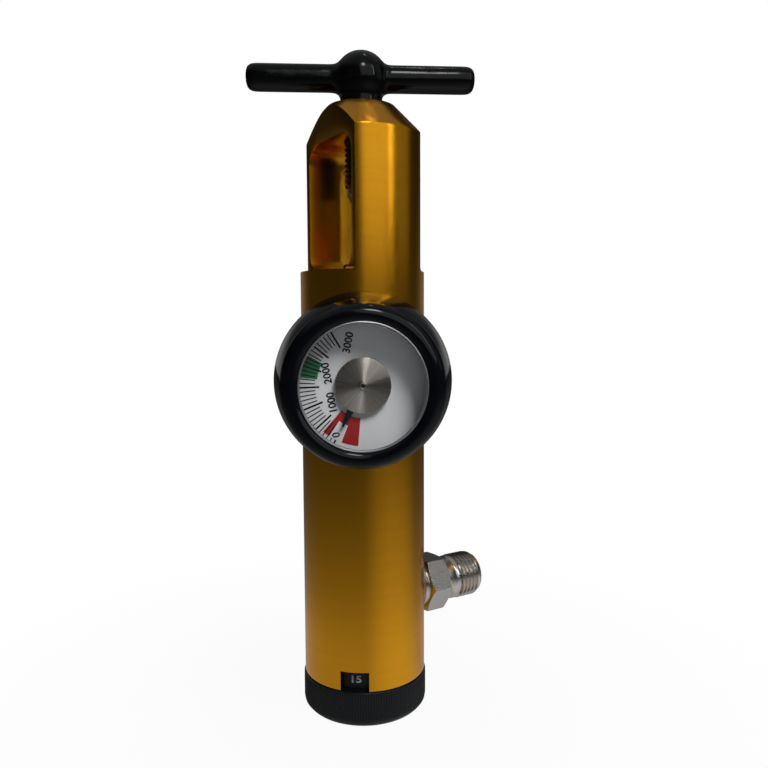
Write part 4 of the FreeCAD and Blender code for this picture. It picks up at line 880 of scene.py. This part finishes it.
@dataclass
class Gauge(SubAssembly):
    """The pressure gauge: case, bezel, lens, printed dial and pointer."""

    dial_face: float = 38.95
    zero_angle: float = 243.0
    full_angle: float = 121.0
    full_scale: int = 3000
    ring_outside: float = 16.1
    major_inside: float = 10.8
    major_width: float = 0.44
    minor_inside: float = 11.9
    minor_width: float = 0.27
    sectors: tuple[tuple[str, Moulded, float, float, float, float, float], ...] = (
        ("dial_green_band", DIAL_GREEN, 11.4, 16.1, 151.5, 172.5, 0.03),
        ("dial_red_field", DIAL_RED, 8.2, 15.2, 229.0, 265.0, 0.03),
        ("dial_white_window", DIAL_WHITE, 10.7, 15.2, 236.0, 249.0, 0.05))
    tick_lift: float = 0.04
    number_lift: float = 0.07
    number_places: tuple[tuple[str, float, float, float], ...] = (
        ("1000", -7.7, -4.3, 101.0), ("2000", -8.9, 3.0, 100.0), ("3000", -3.6, 10.5, 79.0),
        ("0", -6.7, -12.3, 100.0))
    number_height: float = 1.85
    case: tuple[Point, ...] = (
        (5.2, 20.55), (21.5, 20.55), (22.6, 20.85), (23.4, 21.65), (23.7, 22.75), (23.7, 24.95),
        (20.4, 40.9), (17.5, 40.9), (17.5, 38.6), (16.6, 38.6), (16.6, 37.7), (17.5, 36.8),
        (17.5, 22.05), (5.2, 22.05))
    bezel: tuple[Point, ...] = (
        (17.5, 41.05), (20.3, 41.05), (20.4, 41.2), (20.15, 43.9), (19.7, 44.75), (18.9, 45.5),
        (18.0, 45.9), (17.2, 45.92), (16.4, 45.65), (15.8, 45.2), (15.7, 44.95), (17.5, 44.95))
    lens_rim: tuple[Point, ...] = (
        (15.8, 44.7), (15.82, 45.1), (15.72, 45.3), (15.52, 45.38), (15.32, 45.3),
        (15.2, 45.1), (15.18, 44.7))
    disc: tuple[Point, ...] = (
        (0.62, 40.25), (6.85, 39.95), (6.95, 40.1), (6.9, 40.3), (6.6, 40.36), (3.5, 40.44),
        (1.6, 40.6), (0.62, 40.65))
    # Painted shade: a thin black disc on the arbor's centre stands for the dark of its recess.
    centre: tuple[Point, ...] = ((0.0, 41.16), (0.5, 41.16), (0.55, 41.1), (0.0, 41.1))
    blade_plan: tuple[Point, ...] = ((6.2, -1.0), (11.4, -0.2), (11.4, 0.2), (6.2, 1.0))
    blade_back: float = 39.98
    blade_depth: float = 0.3
    case_edge: float = 0.15
    steps: int = 160

    def build(self) -> None:
        """Dress the gauge's solids and make its case, print and pointer."""
        self.dress({
            "gauge_socket": BRASS_GAUGE, "lens_gasket": RUBBER, "gauge_lens": LENS,
            "dial_ring": GAUGE_BLACK, "gauge_dial": DIAL_WHITE, "pressure_coil": BRONZE,
            "pointer_arbor": SPUN, "gauge_case": GAUGE_BLACK, "gauge_bezel": GAUGE_BLACK,
            "gauge_pointer": SPUN})
        case = lathe(self.case, Axis.GAUGE, self.steps, soften=self.case_edge)
        self.piece("gauge_case_turned", case, GAUGE_BLACK, "black_gauge", ["gauge_case"])
        bezel = lathe(self.bezel, Axis.GAUGE, self.steps)
        self.piece("gauge_bezel_turned", bezel, GAUGE_BLACK, "black_gauge", ["gauge_bezel"])
        rim = lathe(self.lens_rim, Axis.GAUGE, self.steps)
        self.piece("lens_edge_ring", rim, RIM_STEEL, "steel")
        self.print_piece("dial_scale", self.scale(), DIAL_INK)
        self.print_piece("dial_numbers", self.numbers(), DIAL_INK)
        for name, ink, *place in self.sectors:
            self.print_piece(name, self.sector(*place), ink)
        disc = lathe(self.disc, Axis.GAUGE)
        self.piece("pointer_disc", disc, SPUN, "spun_metal", ["gauge_pointer"], Body.POINTER)
        # A thin black disc paints the shade of the arbor's centre recess.
        dot = lathe(self.centre, Axis.GAUGE, 40)
        self.piece("pointer_recess_shade", dot, DIAL_INK, "black_gauge", body=Body.POINTER)
        self.piece("pointer_blade", self.blade(), DIAL_INK, "black_gauge", body=Body.POINTER)

    def print_piece(self, name: str, mesh: bmesh.types.BMesh, finish: AnyFinish) -> None:
        """Place printed marks on the dial.

        Args:
            name: The piece's name.
            mesh: The marks, in the gauge's own coordinates.
            finish: The ink.
        """
        mesh.transform(Axis.GAUGE.matrix())
        self.piece(name, mesh, finish, "dial_white")

    def sector(self, inside: float, outside: float, start: float, stop: float,
               lift: float) -> bmesh.types.BMesh:
        """Make a flat sector of a ring on the dial.

        Args:
            inside: Its inner radius, in millimetres.
            outside: Its outer radius.
            start: Where it starts, in degrees from the right.
            stop: Where it stops.
            lift: Its height above the dial.

        Returns:
            The sector, in the gauge's own coordinates.
        """
        mesh = bmesh.new()
        level = self.dial_face + lift
        profile = outline(mesh, [(inside, level), (outside, level)], closed=False)
        spin(mesh, profile, math.radians(stop - start), 24, use_merge=False)
        bmesh.ops.transform(mesh, matrix=Matrix.Rotation(math.radians(start), 4, "Z"),
                            verts=mesh.verts)
        bmesh.ops.recalc_face_normals(mesh, faces=mesh.faces)
        for face in mesh.faces:
            if face.normal.z < 0.0:
                face.normal_flip()
        return mesh

    def scale(self) -> bmesh.types.BMesh:
        """Make the ticks of the scale, a long one at each 500.

        Returns:
            The ticks, in the gauge's own coordinates.
        """
        mesh = bmesh.new()
        for value in range(0, self.full_scale + 1, 100):
            share = value / self.full_scale
            angle = self.zero_angle + (self.full_angle - self.zero_angle) * share
            major = value % 500 == 0
            inside = self.major_inside if major else self.minor_inside
            length = self.ring_outside - inside
            width = self.major_width if major else self.minor_width
            place = (Matrix.Rotation(math.radians(angle), 4, "Z")
                     @ Matrix.Translation(((inside + length / 2) * MM, 0.0,
                                           (self.dial_face + self.tick_lift) * MM))
                     @ Matrix.Diagonal((length * MM, width * MM, 1.0, 1.0)))
            bmesh.ops.create_grid(mesh, x_segments=1, y_segments=1, size=0.5, matrix=place)
        return mesh

    def numbers(self) -> bmesh.types.BMesh:
        """Make the scale's numbers, which read along the turned dial.

        Returns:
            The numbers, in the gauge's own coordinates.
        """
        mesh = bmesh.new()
        level = (self.dial_face + self.number_lift) * MM
        for words, across, up, turn in self.number_places:
            text = flat_text(words, self.number_height)
            text.transform(Matrix.Translation((across * MM, up * MM, level))
                           @ Matrix.Rotation(math.radians(turn), 4, "Z"))
            join(mesh, text)
        bmesh.ops.remove_doubles(mesh, verts=mesh.verts, dist=SAME_PLACE)
        return mesh

    def blade(self) -> bmesh.types.BMesh:
        """Make the pointer's blade, a thin wedge from under the disc.

        Returns:
            The blade, in place.
        """
        mesh = bmesh.new()
        face = mesh.faces.new([mesh.verts.new((x * MM, y * MM, self.blade_back * MM))
                               for x, y in self.blade_plan])
        grown = bmesh.ops.extrude_face_region(mesh, geom=[face])["geom"]
        bmesh.ops.translate(mesh, vec=(0.0, 0.0, self.blade_depth * MM), verts=verts_of(grown))
        bmesh.ops.recalc_face_normals(mesh, faces=mesh.faces)
        mesh.transform(Axis.GAUGE.matrix()
                       @ Matrix.Rotation(math.radians(self.zero_angle), 4, "Z"))
        return mesh


@dataclass
class Clamp(SubAssembly):
    """The clamp screw with its thrust tip and its dipped T-handle."""

    body: Body = Body.CLAMP
    thread_radius: float = 4.95
    thread_root: float = 4.15
    pitch: float = 1.5
    thread_low: float = 154.9
    thread_high: float = 168.0
    pilot: float = 2.4
    pilot_low: float = 151.3
    runout: tuple[Point, ...] = ((5.0, 168.0), (4.1, 167.3))
    half_length: float = 33.2
    grip: float = 4.0
    nose: float = 1.7
    nose_across: float = 0.35
    nose_along: float = 0.3
    hub: float = 7.95
    neck: float = 6.1
    neck_low: float = -8.0
    neck_kept: float = 0.6
    voxel: float = 0.45
    passes: int = 26

    def build(self) -> None:
        """Dress the clamp's solids and make the thread and the handle."""
        self.dress({"cross_bar": STEEL, "thrust_tip": STEEL, "clamp_screw": BLACKENED,
                    "handle_coating": VINYL})
        screw = self.copy_of("clamp_screw")
        trim(screw, self.thread_high, -1.0)
        thread = screw_thread(self.thread_radius, self.thread_root, self.pitch,
                              self.thread_low, self.thread_high, self.pilot)
        pilot = lathe([(self.pilot, self.thread_low), (self.pilot, self.pilot_low),
                       (0.0, self.pilot_low)], steps=48, closed=False)
        join(screw, thread, pilot, lathe(self.runout, steps=72, closed=False))
        self.piece("clamp_screw_threaded", screw, BLACKENED, "blackened_steel", ["clamp_screw"])
        self.piece("handle_dipped", self.handle(), VINYL, "black_vinyl", ["handle_coating"])

    def handle(self) -> bmesh.types.BMesh:
        """Join bar and hub into one skin and let it flow together as a dipped coating does.

        Returns:
            The coating, in place.
        """
        grip, half, nose = self.grip, self.half_length, self.nose
        across, along = self.nose_across * nose, self.nose_along * nose
        bar = lathe([(0.0, -half), (grip - nose, -half), (grip - across, -half + along),
                     (grip, -half + nose), (grip, half - nose), (grip - across, half - along),
                     (grip - nose, half), (0.0, half)], steps=64, closed=False)
        bar.transform(Matrix.Rotation(math.radians(90.0), 4, "Y"))
        hub = bmesh.new()
        bmesh.ops.create_uvsphere(hub, u_segments=64, v_segments=48, radius=self.hub * MM)
        neck = lathe([(0.0, self.neck_low), (self.neck, self.neck_low), (self.neck, 0.0),
                      (0.0, 0.0)], steps=64, closed=False)
        join(bar, hub, neck)
        joined = bpy.data.meshes.new("handle_parts")
        bar.to_mesh(joined)
        bar.free()
        holder = add_object("handle_holder", joined)
        skin = holder.modifiers.new("Skin", "REMESH")
        skin.mode = "VOXEL"
        skin.voxel_size = self.voxel * MM
        mesh = take_shape(holder)
        low = (self.neck_low + self.neck_kept) * MM
        for _ in range(self.passes):
            free = [corner for corner in mesh.verts if corner.co.z > low]
            bmesh.ops.smooth_vert(mesh, verts=free, factor=0.5, use_axis_x=True,
                                  use_axis_y=True, use_axis_z=True)
        mesh.transform(Axis.BAR.matrix())
        return mesh


# ---------------------------------------------------------------------------------------------
# Studio


@dataclass
class Softbox:
    """A soft rectangular lamp that looks at a point on the regulator.

    Attributes:
        name: The lamp's name.
        place: Where it stands, in metres.
        size: Its width and height, in metres.
        power: Its power, in watts.
        glossy: Whether reflections show it.
        diffuse: Whether it lights the surfaces themselves.
        aim: What it looks at.
    """

    name: str
    place: Triple
    size: tuple[float, float]
    power: float
    glossy: bool = True
    diffuse: bool = True
    aim: Triple = (0.0, 0.0, 0.09)

    def build(self) -> None:
        """Add the lamp to the scene."""
        lamp = bpy.data.lights.new(self.name, "AREA")
        lamp.shape = "RECTANGLE"
        lamp.size, lamp.size_y = self.size
        lamp.energy = self.power
        holder = add_object(self.name, lamp)
        holder.location = self.place
        holder.visible_glossy = self.glossy
        holder.visible_diffuse = self.diffuse
        towards = Vector(self.aim) - Vector(self.place)
        holder.rotation_euler = towards.to_track_quat("-Z", "Y").to_euler()


@dataclass
class Studio:
    """Camera, floor, surroundings and lamps.

    Attributes:
        camera_place: The camera's place, in metres.
        pitch: Its angle upwards, in degrees.
        yaw: Its angle to the right, in degrees.
        roll: Its turn about its own line of sight, in radians.
        focal_pixels: Its focal length, in pixels of the picture.
        image_pixels: The picture's width.
        sensor: The sensor's width, in millimetres.
        clip_start: Where its view starts, in metres.
        floor_half: Half the floor's side, in metres.
        mirror_reach: How far the floor's light near the object reaches in reflections.
        mirror_most: The most of that light.
        beam_heading: The direction in which the floor is lighter in reflections.
        ambient: Strength of the world's light on the surfaces.
        lamps: The lamps.
    """

    camera_place: Triple = (0.0, -0.219, 0.11505)
    pitch: float = -4.55
    yaw: float = 1.64
    roll: float = -0.0045
    focal_pixels: float = 731.6
    image_pixels: float = 768.0
    sensor: float = 36.0
    clip_start: float = 0.01
    floor_half: float = 3.0
    mirror_reach: float = 0.03
    mirror_most: float = 0.42
    beam_heading: Triple = (0.82, -0.57, 0.0)
    ambient: float = 0.05
    lamps: list[Softbox] = field(default_factory=lambda: [
        Softbox("window_lamp", (0.25, -0.61, 0.46), (0.62, 0.58), 0.95, diffuse=False),
        Softbox("strip_lamp", (0.53, -0.40, 0.46), (0.03, 0.46), 0.40, diffuse=False),
        Softbox("side_lamp", (0.62, -0.12, 0.42), (0.34, 0.5), 0.12, diffuse=False),
        Softbox("ceiling_lamp", (0.08, 0.06, 0.78), (0.03, 0.03), 0.04, diffuse=False),
        Softbox("front_lamp", (0.076, -0.46, 0.60), (0.11, 0.15), 0.75, diffuse=False),
        Softbox("key_lamp", (0.34, -0.52, 0.84), (0.36, 0.36), 8.4, glossy=False)])

    def build(self) -> None:
        """Build the camera and everything round the object."""
        self.camera()
        self.floor()
        self.surroundings()
        for lamp in self.lamps:
            lamp.build()

    def camera(self) -> None:
        """Create the camera from the fitted viewpoint."""
        pitch, yaw = math.radians(self.pitch), math.radians(self.yaw)
        ahead = Vector((math.sin(yaw) * math.cos(pitch), math.cos(yaw) * math.cos(pitch),
                        math.sin(pitch)))
        right = ahead.cross(Vector((0.0, 0.0, 1.0))).normalized()
        up = right.cross(ahead)
        across = math.cos(self.roll) * right + math.sin(self.roll) * up
        above = across.cross(ahead)
        turn = Matrix((across, above, -ahead)).transposed().to_4x4()
        data = bpy.data.cameras.new("camera")
        data.sensor_width = self.sensor
        data.lens = self.focal_pixels / self.image_pixels * data.sensor_width
        data.clip_start = self.clip_start
        view = add_object("camera", data)
        view.matrix_world = Matrix.Translation(self.camera_place) @ turn
        bpy.context.scene.camera = view

    def floor(self) -> None:
        """Lay a pale floor that keeps the object's shadow."""
        mesh = bmesh.new()
        bmesh.ops.create_grid(mesh, x_segments=4, y_segments=4, size=self.floor_half)
        data = bpy.data.meshes.new("floor")
        mesh.to_mesh(data)
        mesh.free()
        data.materials.append(self.floor_material())
        add_object("floor", data)

    def floor_material(self) -> bpy.types.Material:
        """Make a floor that is white to the camera and dim, with one light side, in reflections.

        Returns:
            The material. Close to the object it lets the camera see a little of its shade.
        """
        tree = ShaderTree("floor_pale")
        tree.set(Base_Color=(0.42, 0.42, 0.43, 1.0), Roughness=0.6, Specular_IOR_Level=0.2)
        where = tree.add("ShaderNodeTexCoord").outputs["Object"]
        distance = tree.add("ShaderNodeVectorMath", {0: where}, operation="LENGTH")
        reach = distance.outputs["Value"]
        near = tree.calculate("DIVIDE", self.mirror_reach, reach)
        mirrored = tree.calculate("MINIMUM", near, self.mirror_most)
        heading = tree.add("ShaderNodeVectorMath", {0: where}, operation="NORMALIZE")
        facing = tree.add("ShaderNodeVectorMath", {0: heading.outputs[0], 1: self.beam_heading},
                          operation="DOT_PRODUCT")
        beam = tree.range(facing.outputs["Value"], low=0.62, high=0.98, to_low=0.0, to_high=0.24)
        fade = tree.range(reach, low=0.2, high=0.6, to_low=1.0, to_high=0.1)
        sheen = tree.add("ShaderNodeEmission", {
            "Color": (1.0, 1.0, 1.0, 1.0),
            "Strength": tree.calculate("MULTIPLY_ADD", beam, fade, mirrored)})
        glow = tree.add("ShaderNodeEmission", {"Color": (1.0, 1.0, 1.0, 1.0), "Strength": 1.0})
        seen = tree.range(reach, low=0.03, high=0.16, to_low=0.95, to_high=1.0)
        path = tree.add("ShaderNodeLightPath").outputs
        level = tree.shader.outputs[0]
        for share, light in ((tree.calculate("MULTIPLY", path["Is Camera Ray"], seen), glow),
                             (path["Is Glossy Ray"], sheen)):
            mix = tree.add("ShaderNodeMixShader", {0: share, 1: level, 2: light.outputs[0]})
            level = mix.outputs[0]
        tree.link(level, tree.output.inputs["Surface"])
        return tree.material

    def surroundings(self) -> None:
        """Surround the object with white for the camera and a dim room for its reflections."""
        world = bpy.data.worlds.new("studio")
        bpy.context.scene.world = world
        world.use_nodes = True
        tree = NodeTree(world.node_tree)
        where = tree.add("ShaderNodeTexCoord").outputs["Generated"]
        parts = tree.add("ShaderNodeSeparateXYZ", {0: where}).outputs
        behind = tree.range(parts["Y"], 0.4, 0.95, 0.055, 0.25, "SMOOTHSTEP")
        low = tree.range(parts["Z"], 0.02, 0.2, 1.0, 0.2, "SMOOTHSTEP")
        overhead = tree.range(parts["Z"], 0.52, 0.85, 0.0, 0.25, "SMOOTHSTEP")
        room = tree.calculate("MULTIPLY_ADD", behind, low, overhead)
        path = tree.add("ShaderNodeLightPath").outputs
        level: Socket | float = self.ambient
        for ray, light in (("Is Glossy Ray", room), ("Is Camera Ray", 1.0),
                           ("Is Transmission Ray", 1.0)):
            mix = tree.add("ShaderNodeMix", {0: path[ray], 2: level, 3: light})
            level = mix.outputs[0]
        back = tree.nodes["Background"].inputs
        back["Color"].default_value = (1.0, 1.0, 1.0, 1.0)
        tree.link(level, back["Strength"])


def main() -> None:
    """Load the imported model, dress it and build the studio."""
    logging.basicConfig(level=logging.INFO, format="%(message)s")
    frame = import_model()
    bpy.context.scene.view_settings.view_transform = "Standard"
    Studio().build()
    for part in (Yoke, FlowKnob, Outlet, Gauge, Clamp):
        part(nodes=frame["nodes"]).build()


if __name__ == "__main__":
    main()
